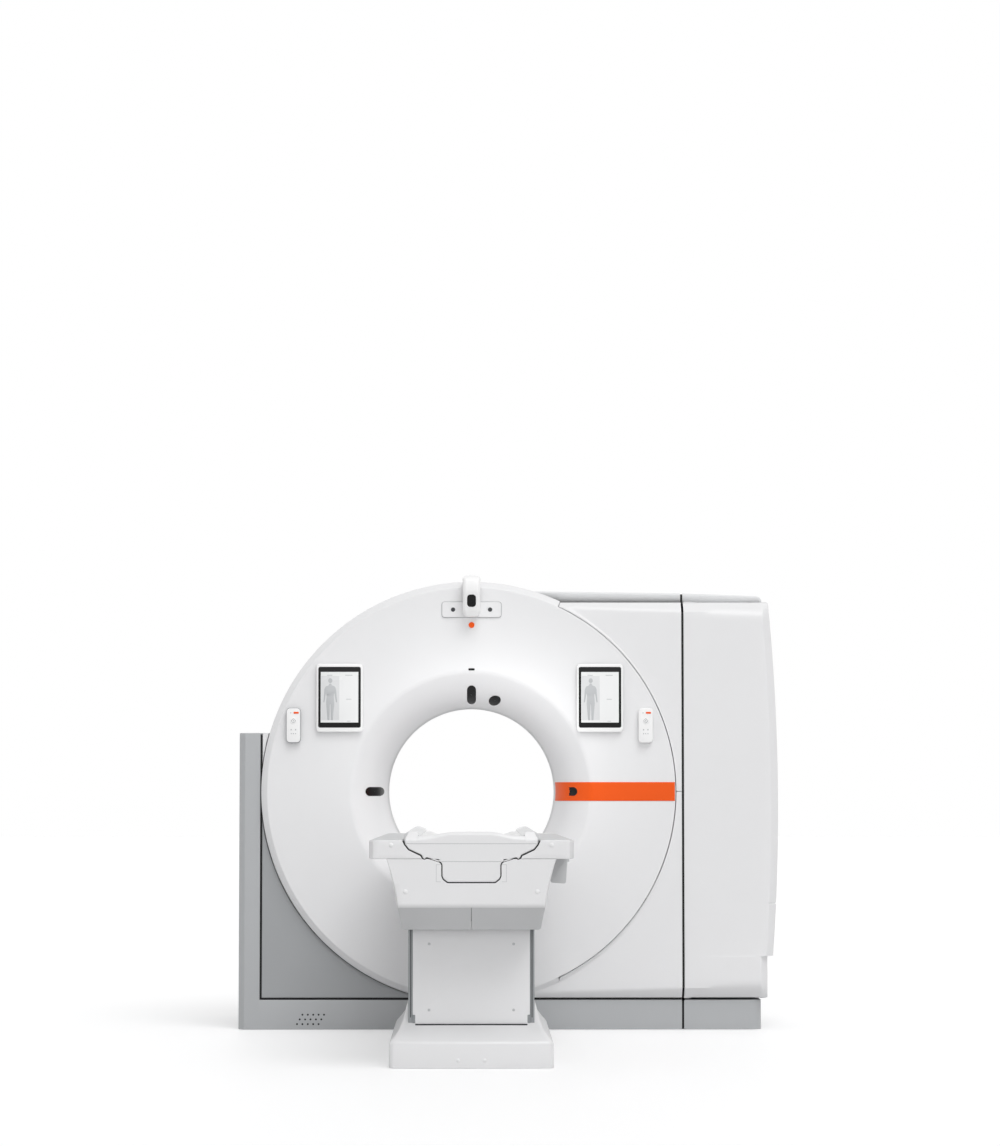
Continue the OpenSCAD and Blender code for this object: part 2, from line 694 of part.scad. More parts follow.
module tablet(x) on_face(x, tablet_at, -holder_t - tablet_t, -holder_t) rounded(tablet_w, tablet_h, 14);
module tablet_case(x) difference() {
    tablet(x);
    on_face(x, tablet_at, -holder_t - tablet_t - e, -holder_t - tablet_t + glass_t)
        rounded(tablet_w - 2 * tablet_rim, tablet_h - 3.2 * tablet_rim, 8);
}
module tablet_glass(x) on_face(x, tablet_at, -holder_t - tablet_t, -holder_t - tablet_t + glass_t)
    rounded(tablet_w - 2 * tablet_rim - 0.6, tablet_h - 3.2 * tablet_rim - 0.6, 8 - proud);
module tablet_left() color(white) tablet_case(-tablet_left_x);
module tablet_left_glass() color(black) tablet_glass(-tablet_left_x);
module tablet_right() color(white) tablet_case(tablet_right_x);
module tablet_right_glass() color(black) tablet_glass(tablet_right_x);
remote_face = -holder_t - remote_t;
pad_z = 0.13 * remote_h;
mark_z = 0.36 * remote_h;
module mark_outline(grow) rounded(16 + 2 * grow, 7 + 2 * grow, 2);
module remote(x) difference() {
    on_face(x, remote_at, remote_face, -holder_t) rounded(remote_w, remote_h, 16);
    on_face(x, remote_at + pad_z, remote_face - e, remote_face + key_in + key_travel) circle(pad_r + key_gap, $fn = 48);
    on_face(x + 11, remote_at + mark_z, remote_face - e, remote_face + key_in + key_travel) mark_outline(key_gap);
}
module ring_pad(x) difference() {
    on_face(x, remote_at + pad_z, remote_face - key_h, remote_face + key_in - 0.3) circle(pad_r, $fn = 48);
    on_face(x, remote_at + pad_z, remote_face - key_h - e, remote_face - key_h + 0.8) difference() {
        circle(pad_r - 4, $fn = 48);
        circle(pad_r - 8, $fn = 48);
    }
}
module mark_key(x) on_face(x + 11, remote_at + mark_z, remote_face - key_h, remote_face + key_in - 0.3) mark_outline(0);
module remote_left() color(white) remote(-remote_left_x);
module remote_right() color(white) remote(remote_right_x);
module remote_left_pad() color(shade) ring_pad(-remote_left_x);
module remote_right_pad() color(shade) ring_pad(remote_right_x);
module remote_left_key() color("#EB5F1E") mark_key(-remote_left_x);
module remote_right_key() color("#EB5F1E") mark_key(remote_right_x);

// Steel frames
front_beam_y = panel_y + 20;
stator_y = rotor_y + rotor_plate_t + 30;
module base_frame() color(steel) difference() {
    union() {
        for (y = [front_beam_y, stator_y - 20, wall_y - beam_w - 4])
            block([-0.5 * anchor_x - 120, y, 0], [0.5 * anchor_x + 120, y + beam_w, beam_h]);
        for (x = [-0.5 * anchor_x - 120, -beam_w / 2, 0.5 * anchor_x + 120 - beam_w])
            block([x, front_beam_y, 0], [x + beam_w, wall_y - 4, beam_h]);
        for (sx = [-1, 1], sy = [-1, 1])
            block([sx * anchor_x / 2 - 60, sy * anchor_y / 2 - 60, 0], [sx * anchor_x / 2 + 60, sy * anchor_y / 2 + 60, 20]);
    }
    for (sx = [-1, 1], sy = [-1, 1])
        translate([sx * anchor_x / 2, sy * anchor_y / 2, -e]) cylinder(r = anchor_r, h = beam_h + 9, $fn = 32);
}
motor_y = stator_y + stator_t;
module stator_frame() color(steel) slab_y(stator_y, motor_y) difference() {
    union() {
        bore_disc(stator_r);
        for (s = [-1, 1]) polygon([[s * 420, beam_h], [s * 700, beam_h], [s * 730, iso_h], [s * 480, iso_h]]);
    }
    bore_disc(hub_r + hub_t + fit + 2 * bearing_t);
    translate([motor_x, motor_z]) circle(shaft_r + 6, $fn = 32);
    for (a = [0:45:315]) translate([0, iso_h]) rotate(a + 22.5) translate([(stator_r + hub_r + 2 * bearing_t) / 2 + 10, 0]) circle(90, $fn = 48);
}
module bearing_outer_ring() color("silver") ring_y(hub_r + hub_t + bearing_t, hub_r + hub_t + 2 * bearing_t, stator_y - 5, stator_y - 5 + bearing_w);
module bearing_inner_ring() color("silver") ring_y(hub_r + hub_t + fit, hub_r + hub_t + bearing_t - fit, stator_y - 5, stator_y - 5 + bearing_w);
slip_y = motor_y + 50;
module slip_ring() color("#B98A4A") about_bore() rotate_extrude($fn = 180) difference() {
    translate([hub_r + hub_t + fit, slip_y]) square([slip_r - hub_r - hub_t - fit, slip_w]);
    for (i = [0:5]) translate([slip_r - 5, slip_y + slip_w * (i + 0.3) / 6]) square([9, slip_w / 15]);
}
module brush_block() color("#3A3C3E") {
    z = iso_h - slip_r - 0.3;
    block([-60, slip_y, z - 100], [60, slip_y + slip_w, z]);
    block([-40, motor_y, z - 100], [40, slip_y + e, z - 40]);
}
module rotor_drum() color(steel) difference() {
    union() {
        ring_y(hub_r, hub_r + hub_t, throat_y - 90, slip_y + 0.6 * slip_w);
        ring_y(hub_r, rotor_r - 20, rotor_y, rotor_y + rotor_plate_t);
        ring_y(rotor_r - 40, rotor_r, rotor_y - 15, rotor_y + rotor_plate_t + 15);
    }
    for (a = [45:90:315]) translate([0, 0, iso_h]) rotate([0, a, 0]) translate([0, 0, 0.76 * rotor_r])
        rotate([90, 0, 0]) translate([0, 0, -rotor_y - rotor_plate_t - e]) cylinder(r = 70, h = rotor_plate_t + 2 * e, $fn = 48);
}
module drive_belt() color("#2B2B2B") slab_y(rotor_y - 10, rotor_y - 10 + belt_w) difference() {
    belt_line(belt_gap + belt_t);
    belt_line(belt_gap);
}
module belt_line(g) hull() {
    bore_disc(rotor_r + g);
    translate([motor_x, motor_z]) circle(pulley_r + g, $fn = 60);
}
module motor_pulley() color("silver") {
    pin_y(motor_x, motor_z, pulley_r, rotor_y - 12, rotor_y - 8 + belt_w);
    pin_y(motor_x, motor_z, shaft_r, rotor_y, motor_y + 40);
}
module drive_motor() color("#4A4E52") difference() {
    union() {
        pin_y(motor_x, motor_z, motor_r, motor_y, motor_y + motor_len);
        block([motor_x - 45, motor_y, beam_h], [motor_x + 45, motor_y + motor_len - 20, motor_z - motor_r + 9]);
    }
    pin_y(motor_x, motor_z, shaft_r + fit, rotor_y, motor_y + 41);
}
module xray_tube() color("#D8DADC") {
    pin_y(0, iso_h + 0.8 * rotor_r, tube_r, rotor_y - tube_len, rotor_y);
    pin_y(0, iso_h + 0.8 * rotor_r, 0.6 * tube_r, rotor_y - tube_len - 40, rotor_y - tube_len + e);
    for (s = [-1, 1]) translate([s * 0.5 * tube_r, rotor_y - 0.7 * tube_len, iso_h + 0.8 * rotor_r]) cylinder(r = 26, h = 0.16 * rotor_r - 12, $fn = 32);
}
module collimator() color("#50545A") difference() {
    block([-collimator_w / 2, rotor_y - collimator_d, iso_h + hub_r + hub_t + 20],
        [collimator_w / 2, rotor_y, iso_h + 0.8 * rotor_r - tube_r - proud]);
    block([35 - collimator_w / 2, rotor_y - collimator_d + 70, 0],
        [collimator_w / 2 - 35, rotor_y - collimator_d + 100, 2 * iso_h]);
}
module generator() color("#C9CBCD") {
    fin = (generator_h - 26) / 7;
    block([-0.92 * rotor_r, rotor_y - generator_d, iso_h - generator_h / 2], [-0.6 * rotor_r, rotor_y, iso_h + generator_h / 2]);
    for (i = [0:6]) block([-0.6 * rotor_r - e, rotor_y - generator_d + 10, iso_h - generator_h / 2 + 20 + i * fin],
        [-0.6 * rotor_r + 40, rotor_y - 10, iso_h - generator_h / 2 + 28 + i * fin]);
}
module detector_arc() color("#D8DADC") about_bore() rotate([0, 0, 62]) translate([0, 0, rotor_y - detector_d - 70])
    rotate_extrude(angle = 56, $fn = 180) {
        translate([0.68 * rotor_r, 0]) square([detector_t, detector_d]);
        translate([0.68 * rotor_r + detector_t - 10, 40]) square([40, detector_d + 30 - proud]);
    }
module counterweight() color(steel) for (s = [-1, 1])
    block([0.64 * rotor_r, rotor_y - 180, iso_h + s * 70 - 46], [0.92 * rotor_r, rotor_y, iso_h + s * 70 + 46]);

// Table base: floor plate, fixed lift column and moulded cover
module column(x, l, t, z0, z1) slab_z(z0, z1) translate([0, column_y]) difference() {
    square([2 * x, l], center = true);
    square([2 * (x - t), l - 2 * t], center = true);
}
module table_base_frame() color(steel) difference() {
    union() {
        block([-base_x + 35, base_y + 50, 0], [base_x - 35, base_back - 50, floor_t]);
        for (y = [base_y + 170, base_back - 230])
            block([-base_x + table_t, y, 0], [base_x - table_t, y + 60, floor_t]);
        column(column_x, column_len, column_t, floor_t - e, column_h);
    }
    for (sx = [-1, 1], sy = [-1, 1])
        translate([sx * table_anchor_x / 2, (base_y + base_back) / 2 + sy * table_anchor_y / 2, -e])
            cylinder(r = table_anchor_r, h = floor_t + 2 * e, $fn = 32);
}
module base_form(s) {
    low = s > 0 ? -e : 0;
    lip = base_side_h + 6;
    intersection() {
        slab_y(base_y - e, base_back + e) polygon([[-base_x + s, low], [-base_x + s, base_side_h - 0.4 * s],
            [-base_x + 9 + s, lip + 8 - s], [-stage_x - 34 + s, base_front_h + 6 - s], [-stage_x - 12 + s, shoulder_h - 30 - s],
            [-stage_x - 8 + s, shoulder_h - s], [stage_x + 8 - s, shoulder_h - s],
            [stage_x + 12 - s, shoulder_h - 30 - s], [stage_x + 34 - s, base_front_h + 6 - s], [base_x - 9 - s, lip + 8 - s],
            [base_x - s, base_side_h - 0.4 * s], [base_x - s, low]]);
        slab_x(-base_x, base_x) polygon([[base_y + s, low], [base_y + s, base_side_h - s], [base_y + 8 + s, lip - s],
            [base_y + 20 + s, lip + 2 - s], [base_y + 26 + s, lip + 14 - s], [stage_y - 6, base_front_h - s],
            [stage_y + 8 + s, base_front_h + 4 - s], [stage_y + 70 + s, shoulder_h - s], [stage_back - 20, shoulder_h - s],
            [base_back - 40 - s, base_front_h - s], [base_back - s, base_side_h - s], [base_back - s, low]]);
        slab_z(low - e, shoulder_h + e) polygon(concat([[-base_x + s, base_back - s]],
            arc(-base_x + 45, base_y + 57, 45 - s, 180, 262, 6),
            arc(0, base_y + 2230, 2230 - s, 263.9, 276.1, 8),
            arc(base_x - 45, base_y + 57, 45 - s, 278, 360, 6), [[base_x - s, base_back - s]]));
    }
}
module table_base_cover() color(white) difference() {
    base_form(0);
    base_form(table_t);
    block([-stage_x - stage_gap, stage_y - plate_t - stage_gap, -e], [stage_x + stage_gap, stage_back + stage_gap, iso_h]);
}
module floor_duct() color(grey) difference() {
    slab_y(base_back, panel_y - 0.5) polygon([[-duct_w / 2, 0], [-duct_w / 2 + 30, duct_h], [duct_w / 2 - 30, duct_h], [duct_w / 2, 0]]);
    slab_y(base_back - e, panel_y + e) polygon([[-duct_w / 2 + 9, -e], [-duct_w / 2 + 34, duct_h - 5], [duct_w / 2 - 34, duct_h - 5], [duct_w / 2 - 9, -e]]);
}
// Middle stage of the pedestal: box with side channels, top plate and middle column
mid_x = column_x - column_t - column_gap;
mid_len = column_len - 2 * column_t - 2 * column_gap;
inner_x = mid_x - column_t - column_gap;
inner_len = mid_len - 2 * column_t - 2 * column_gap;
module pedestal_stage() color("#8E9193") difference() {
    union() {
        block([-stage_x, stage_y, plate_low], [stage_x, stage_back, stage_top]);
    }
    block([-stage_x + stage_t + 10, stage_y - e, plate_low - e], [stage_x - stage_t - 10, stage_y + 24, stage_top - 2 * stage_t]);
    difference() {
        block([-stage_x + stage_t, stage_y + 24 + stage_t, plate_low - e], [stage_x - stage_t, stage_back - stage_t, stage_top - stage_t]);
        slab_z(0, iso_h) translate([0, column_y]) square([2 * mid_x, mid_len], center = true);
    }
    slab_z(0, iso_h) translate([0, column_y]) square([2 * (mid_x - column_t), mid_len - 2 * column_t], center = true);
    for (s = [-1, 1]) block([s * (stage_x + 1) - 4, stage_y + 8, plate_low - e], [s * (stage_x + 1) + 4, stage_y + 18, stage_top + e]);
}
module pedestal_plate() color(shade) slab_y(stage_y - plate_t, stage_y) difference() {
    translate([-plate_x, plate_low]) square([2 * plate_x, stage_top - plate_low]);
    for (s = [-1, 1]) translate([s * (plate_x - 4) - 5, plate_low - e]) square([10, 32]);
}

// Moving unit seen from the foot end, as half outline above and below the deck line
cap_side = [[229, rim_up - 4], [235, 30], [235, 12], [229, -1], [216, -17], [173, -37], [168, -47], [163, -51],
    [156, -45], [109, -60], [103, -65], [100, -73], [100, -111], [96, -120], [82, -131]];
function unit_side() = [for (p = cap_side) [p[0] + (p[0] > 150 ? (top_half - 235) : 0), p[1]]];
module at_deck() translate([0, deck_h]) children();
module unit_below() polygon(concat([[top_half - 6, 60]], unit_side(), flip(unit_side()), [[6 - top_half, 60]]));
module trough() at_deck() offset(delta = top_gap) unit_below();

module body_form(s) {
    up = s > 0 ? e : 0;
    intersection() {
        slab_y(foot_y - e, end_y + e) polygon([[-body_x + s, wing_z + up], [-body_low_x + s, body_z], [-skirt_x + s, skirt_z - 9],
            [skirt_x - s, skirt_z - 9], [body_low_x - s, body_z], [body_x - s, wing_z + up]]);
        slab_x(-body_x - 9, body_x + 9) polygon([[foot_y + s, wing_z + up], [foot_y + s, body_z + 9], [foot_y + 9 + s, body_z + 0.1 * s],
            [foot_y + skirt_back, skirt_z + s], [foot_y + skirt_back + skirt_len, skirt_z + s],
            [foot_y + skirt_back + skirt_len + 240, body_z + s], [end_y - 30 - s, floor_z - 20 + s],
            [end_y - s, floor_z + 24], [end_y - s, wing_z + up]]);
    }
}
module body_shell() difference() {
    body_form(0);
    body_form(table_t);
    slab_y(foot_y - e, foot_y + 3 * table_t) trough();
    block([-126, foot_y - e, floor_z + 8], [126, foot_y + 2, floor_z + 68]);
    block([-stage_x - 9, foot_y + skirt_back + 9, skirt_z - 99], [stage_x + 9, foot_y + skirt_back + skirt_len - 9, skirt_z + table_t + e]);
    block([-body_x, end_y - 3 * table_t, wing_z - 6], [body_x, end_y + e, wing_z + 9]);
}
module table_body_cover() color(white) difference() {
    body_shell();
    block([-body_x, foot_y - e, 0], [body_x, end_y + e, body_z]);
}
module table_skirt() color(shade) difference() {
    body_shell();
    block([-body_x, foot_y - e, body_z], [body_x, end_y + e, iso_h]);
    block([-1, foot_y - e, 0], [1, end_y + e, iso_h]);
}
module table_wings() color(white) for (s = [-1, 1]) intersection() {
    slab_y(foot_y, end_y) difference() {
        at_deck() polygon([[s * 150, -wing_down], [s * (wing_x - 5), -wing_down], [s * wing_x, 5 - wing_down],
            [s * wing_x, wing_up - 12], [s * (wing_x - 4), wing_up - 4], [s * (wing_x - 14), wing_up], [s * 150, wing_up]]);
        trough();
    }
    slab_z(0, iso_h) polygon([[0, foot_y], [s * (wing_x - 24), foot_y], [s * (wing_x - 9), foot_y + 6],
        [s * wing_x, foot_y + 22], [s * (wing_x - wing_taper), end_y - 30], [s * (wing_x - wing_taper - 30), end_y], [0, end_y]]);
}
module lift_frame() color("#9A9DA0") {
    z0 = floor_z - 8;
    side = 109;
    low = wing_z - 24;
    front = end_y - 34;
    difference() {
        union() {
            block([-side - 6, foot_y + 12, z0], [side + 6, front, floor_z]);
            for (s = [-1, 1]) {
                block([s * (side + 3) - 3, foot_y + 12, z0], [s * (side + 3) + 3, front, low]);
                block([s * (side + 3) - 3, roller_y - 20, z0], [s * (side + 3) + 3, roller_y + 16, roller_z + 13]);
                block([s * 60 - 15, foot_y + 20, z0], [s * 60 + 15, end_y - 110, floor_z + 7.7]);
            }
            for (y = [foot_y + 60, foot_y + 520, column_y, column_y + 500, end_y - 120], s = [-1, 1])
                slab_y(y, y + 8) polygon([[s * side, low - 22], [s * 272, low - 22], [s * 272, wing_z],
                    [s * 188, wing_z], [s * 188, low], [s * side, low]]);
            column(inner_x, inner_len, column_t, plate_low + 122, z0 + e);
        }
        translate([-side - 20, roller_y, roller_z]) rotate([0, 90, 0]) cylinder(r = journal_r + fit, h = 2 * side + 40, $fn = 32);
    }
}
module support_roller() color("#55585B") {
    half = 109;
    translate([-half + 1, roller_y, roller_z]) rotate([0, 90, 0]) cylinder(r = roller_r, h = 2 * half - 2, $fn = 48);
    translate([-half - 6, roller_y, roller_z]) rotate([0, 90, 0]) cylinder(r = journal_r, h = 2 * half + 12, $fn = 32);
}
module side_pocket() color(grey) {
    y = foot_y + 560;
    difference() {
        slab_y(y, y + 170) polygon([[350, wing_z], [343, wing_z - 100], [286, wing_z - 96], [297, wing_z]]);
        slab_y(y + 5, y + 165) polygon([[345, wing_z + e], [338, wing_z - 95], [291, wing_z - 91], [302, wing_z + e]]);
        block([200, y - e, wing_z - 40], [400, y + 60, wing_z + e]);
    }
    translate([350, y + 80, wing_z - 16]) rotate([0, 90, 0]) cylinder(r = 6, h = 7, $fn = 24);
}

// Tabletop
module dish() at_deck() translate([0, dish_r - dish_down]) circle(dish_r, $fn = 180);
module cradle_outline() difference() {
    at_deck() {
        side = [[top_half - 45, rim_up - 9], [top_half - 32, rim_up - 2], [top_half - 20, rim_up], [top_half - 6, rim_up - 4],
            [top_half, 30], [top_half, 12], [top_half - 6, -1], [top_half - 19, -17], [top_half - 62, -36], [100, -under_down]];
        polygon(concat(side, flip(side)));
    }
    dish();
}
module cradle() color(shade) {
    slab_y(foot_y + cap_d, foot_y + top_len) cradle_outline();
    slab_y(carriage_y, carriage_y + carriage_len) at_deck()
        polygon([[-99, -under_down - 13], [-99, -111], [-95, -120], [-81, -131], [81, -131], [95, -120], [99, -111], [99, -under_down - 13],
            [90, -under_down + e], [-90, -under_down + e]]);
}
module end_cap() color(white) difference() {
    crown = [[72, cap_up], [110, cap_up - 6], [133, cap_up - 12], [cap_open, cap_up - 15]];
    corner = [[cap_open, rim_up + 1], [top_half - 17, rim_up + 1]];
    side = concat(crown, corner, [for (p = unit_side()) if (p[1] < 20) p]);
    slab_y(foot_y, foot_y + cap_d - proud) at_deck() polygon(concat(side, flip(side)));
    for (z = [deck_h - 1.5, deck_h - 64]) block([-300, foot_y - e, z], [300, foot_y + 2, z + 3]);
}
module mattress() color("#F2F2F2") slab_y(foot_y + cap_d + mat_end, foot_y + top_len - mat_end) at_deck() difference() {
    intersection() {
        translate([0, dish_r - dish_down]) circle(dish_r - 0.5, $fn = 180);
        translate([-mat_half, -dish_down]) square([2 * mat_half, dish_down + rim_up]);
    }
    translate([0, mat_t - dish_down + mat_r]) circle(mat_r, $fn = 180);
}

base_frame();
left_frame_cover();
left_lower_panel();
left_upper_panel();
front_cover();
gap_seal();
right_panel_lower();
right_panel_upper();
cabinet_cover();
cabinet_plinth();
top_cover();
cabinet_lid();
drum_cover();
rear_cover();
scan_window();
side_band();
laser_windows();
camera_bracket();
camera_housing();
camera_lens();
status_light();
wall_holders();
tablet_left();
tablet_left_glass();
tablet_right();
tablet_right_glass();
remote_left();
remote_right();
remote_left_pad();
remote_left_key();
remote_right_pad();
remote_right_key();
stator_frame();
bearing_outer_ring();
brush_block();
drive_motor();
drive_belt();
motor_pulley();
rotor_drum();
bearing_inner_ring();
slip_ring();
xray_tube();
collimator();
generator();
detector_arc();
counterweight();
table_base_frame();
table_base_cover();
floor_duct();
pedestal_stage();
pedestal_plate();
table_body_cover();
table_wings();
table_skirt();
lift_frame();
side_pocket();
support_roller();
cradle();
end_cap();
mattress();
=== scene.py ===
"""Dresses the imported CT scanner: smooth moulded covers, fittings, padded table top, light and camera."""

from __future__ import annotations

import json
import logging
import math
from dataclasses import dataclass
from enum import Enum
from typing import Callable, Sequence

import bmesh
import bpy
import numpy as np
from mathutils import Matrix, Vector

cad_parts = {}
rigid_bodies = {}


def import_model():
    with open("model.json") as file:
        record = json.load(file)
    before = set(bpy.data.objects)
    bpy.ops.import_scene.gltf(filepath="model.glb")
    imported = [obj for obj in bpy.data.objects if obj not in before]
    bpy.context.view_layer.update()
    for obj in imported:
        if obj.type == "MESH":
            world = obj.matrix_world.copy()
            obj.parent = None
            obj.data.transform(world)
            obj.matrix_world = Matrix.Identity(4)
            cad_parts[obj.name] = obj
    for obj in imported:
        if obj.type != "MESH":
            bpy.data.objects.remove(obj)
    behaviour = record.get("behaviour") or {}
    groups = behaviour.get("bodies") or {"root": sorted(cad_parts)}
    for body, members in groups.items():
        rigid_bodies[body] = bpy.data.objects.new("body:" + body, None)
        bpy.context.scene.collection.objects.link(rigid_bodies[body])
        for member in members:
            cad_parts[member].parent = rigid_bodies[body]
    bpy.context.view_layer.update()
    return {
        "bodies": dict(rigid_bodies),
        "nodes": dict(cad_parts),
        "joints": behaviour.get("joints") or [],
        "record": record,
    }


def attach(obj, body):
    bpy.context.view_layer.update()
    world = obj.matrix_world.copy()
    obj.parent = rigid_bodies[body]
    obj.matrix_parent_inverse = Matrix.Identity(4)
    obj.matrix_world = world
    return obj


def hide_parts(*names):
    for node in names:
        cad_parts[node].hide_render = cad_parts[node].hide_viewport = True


log = logging.getLogger("ct_scanner")
MM = 0.001
Array = np.ndarray
ISO = 970.0


# Small mathematics shared by all pieces


def smooth_max(a: Array | float, b: Array | float, width: float) -> Array:
    """Larger of a and b with the crease between them rounded: half of a + b + sqrt((a - b)^2 + width^2)."""
    return 0.5 * (a + b + np.sqrt((a - b) ** 2 + width**2))


def smooth_step(x: Array | float, low: float, high: float) -> Array:
    """Zero below low, one above high, 3t^2 - 2t^3 between."""
    t = np.clip((np.asarray(x, float) - low) / (high - low), 0.0, 1.0)
    return t * t * (3.0 - 2.0 * t)


def fillet(points: Sequence[Sequence[float]], radius: float | Sequence[float], closed: bool = True,
           steps: int = 5) -> Array:
    """Rounds the corners of a polyline with circular arcs.

    Args:
        points: corners as (x, y) pairs.
        radius: one radius in millimetres, or one per corner.
        closed: whether the last corner joins the first.
        steps: points per rounded corner, minus one.

    Returns:
        The rounded polyline as an (n, 2) array. Each arc touches its two sides at radius * tan(half the
    turn).
    """
    pts = np.asarray(points, float)
    count = len(pts)
    radii = np.broadcast_to(np.asarray(radius, float), (count,))
    out: list[Array] = []
    for i in range(count):
        if (not closed and i in (0, count - 1)) or radii[i] <= 0.0:
            out.append(pts[i : i + 1])
            continue
        before, here, after = pts[i - 1], pts[i], pts[(i + 1) % count]
        len_in, len_out = np.linalg.norm(before - here), np.linalg.norm(after - here)
        to_in, to_out = (before - here) / len_in, (after - here) / len_out
        half = 0.5 * math.acos(float(np.clip(to_in @ to_out, -1.0, 1.0)))
        if half > 1.56:
            out.append(pts[i : i + 1])
            continue
        reach = min(radii[i] / math.tan(half), 0.49 * len_in, 0.49 * len_out)
        r = reach * math.tan(half)
        bisector = to_in + to_out
        centre = here + bisector / np.linalg.norm(bisector) * (r / math.sin(half))
        start, end = here + to_in * reach - centre, here + to_out * reach - centre
        a0 = math.atan2(start[1], start[0])
        turn = (math.atan2(end[1], end[0]) - a0 + math.pi) % (2 * math.pi) - math.pi
        angles = a0 + turn * np.linspace(0.0, 1.0, steps + 1)
        out.append(centre + r * np.stack([np.cos(angles), np.sin(angles)], 1))
    return np.concatenate(out)


def refine(path: Array, step: float) -> Array:
    """Adds evenly spaced points to each straight of an open polyline that is longer than step."""
    parts: list[Array] = []
    for a, b in zip(path[:-1], path[1:]):
        n = max(1, int(np.linalg.norm(b - a) // step) + 1)
        parts.append(a + (b - a) * (np.arange(n) / n)[:, None])
    parts.append(path[-1:])
    return np.concatenate(parts)


def inset(outline: Array, amount: float) -> Array:
    """Moves a closed outline inwards by amount: each point goes along the mean of its two side normals,
    mitred."""
    ahead = np.roll(outline, -1, 0) - outline
    ahead /= np.maximum(np.linalg.norm(ahead, axis=1, keepdims=True), 1e-9)
    behind = np.roll(ahead, 1, 0)
    area = np.sum(outline[:, 0] * np.roll(outline[:, 1], -1) - outline[:, 1] * np.roll(outline[:, 0], -1))
    side = 1.0 if area > 0 else -1.0
    normal = side * np.stack([-(ahead + behind)[:, 1], (ahead + behind)[:, 0]], 1)
    length = np.maximum(np.linalg.norm(normal, axis=1, keepdims=True), 1e-6)
    return outline + normal / length * amount * np.minimum(2.0 / length, 1.6)


def circle(r: float, count: int, x: float = 0.0, y: float = 0.0, start: float = 0.0,
           end: float = 360.0) -> Array:
    """Points on a circle or arc, angles in degrees from start to end; a full circle leaves out its last
    point."""
    full = abs(end - start) >= 359.99
    a = np.radians(np.linspace(start, end, count, endpoint=not full))
    return np.stack([x + r * np.cos(a), y + r * np.sin(a)], 1)


def rounded_box(w: float, h: float, r: float, steps: int = 6) -> Array:
    """Outline of a w by h rectangle about the origin with corner radius r."""
    return fillet([(-w / 2, -h / 2), (w / 2, -h / 2), (w / 2, h / 2), (-w / 2, h / 2)], r, True, steps)


@dataclass
class Edge:
    """Samples across a sheet whose two edges roll over and run back as walls.

    Args:
        count: samples between the rolled edges.
        radius: radius of the rolled edges.
        wall: depth of the wall behind each edge; zero leaves that edge open and sharp.
    """

    count: int = 2
    radius: tuple[float, float] = (3.0, 3.0)
    wall: tuple[float, float] = (20.0, 20.0)
    steps: int = 4

    def __post_init__(self) -> None:
        """Works out shift from the edges, place between them and drop behind the sheet for every sample."""
        a = np.linspace(0.0, math.pi / 2, self.steps + 1)
        roll = [np.stack([r * (1 - np.cos(a)), r * (1 - np.sin(a))], 1) for r in self.radius]
        walled = [np.concatenate([[[0.0, deep]], row]) if deep > 0 else np.zeros((1, 2))
                  for deep, row in zip(self.wall, roll)]
        lead, tail = walled[0], walled[1][::-1]
        t = np.linspace(0.0, 1.0, self.count + 2)[1:-1]
        r0 = self.radius[0] if self.wall[0] > 0 else 0.0
        r1 = self.radius[1] if self.wall[1] > 0 else 0.0
        self.place = np.concatenate([np.zeros(len(lead)), t, np.ones(len(tail))])
        self.shift = np.concatenate([lead[:, 0], r0 * (1 - t) - r1 * t, -tail[:, 0]])
        self.drop = np.concatenate([lead[:, 1], np.zeros(len(t)), tail[:, 1]])

    def across(self, low: Array | float, high: Array | float) -> Array:
        """Positions of the samples between low and high: low + (high - low) * place + shift."""
        return low + (high - low) * self.place + self.shift


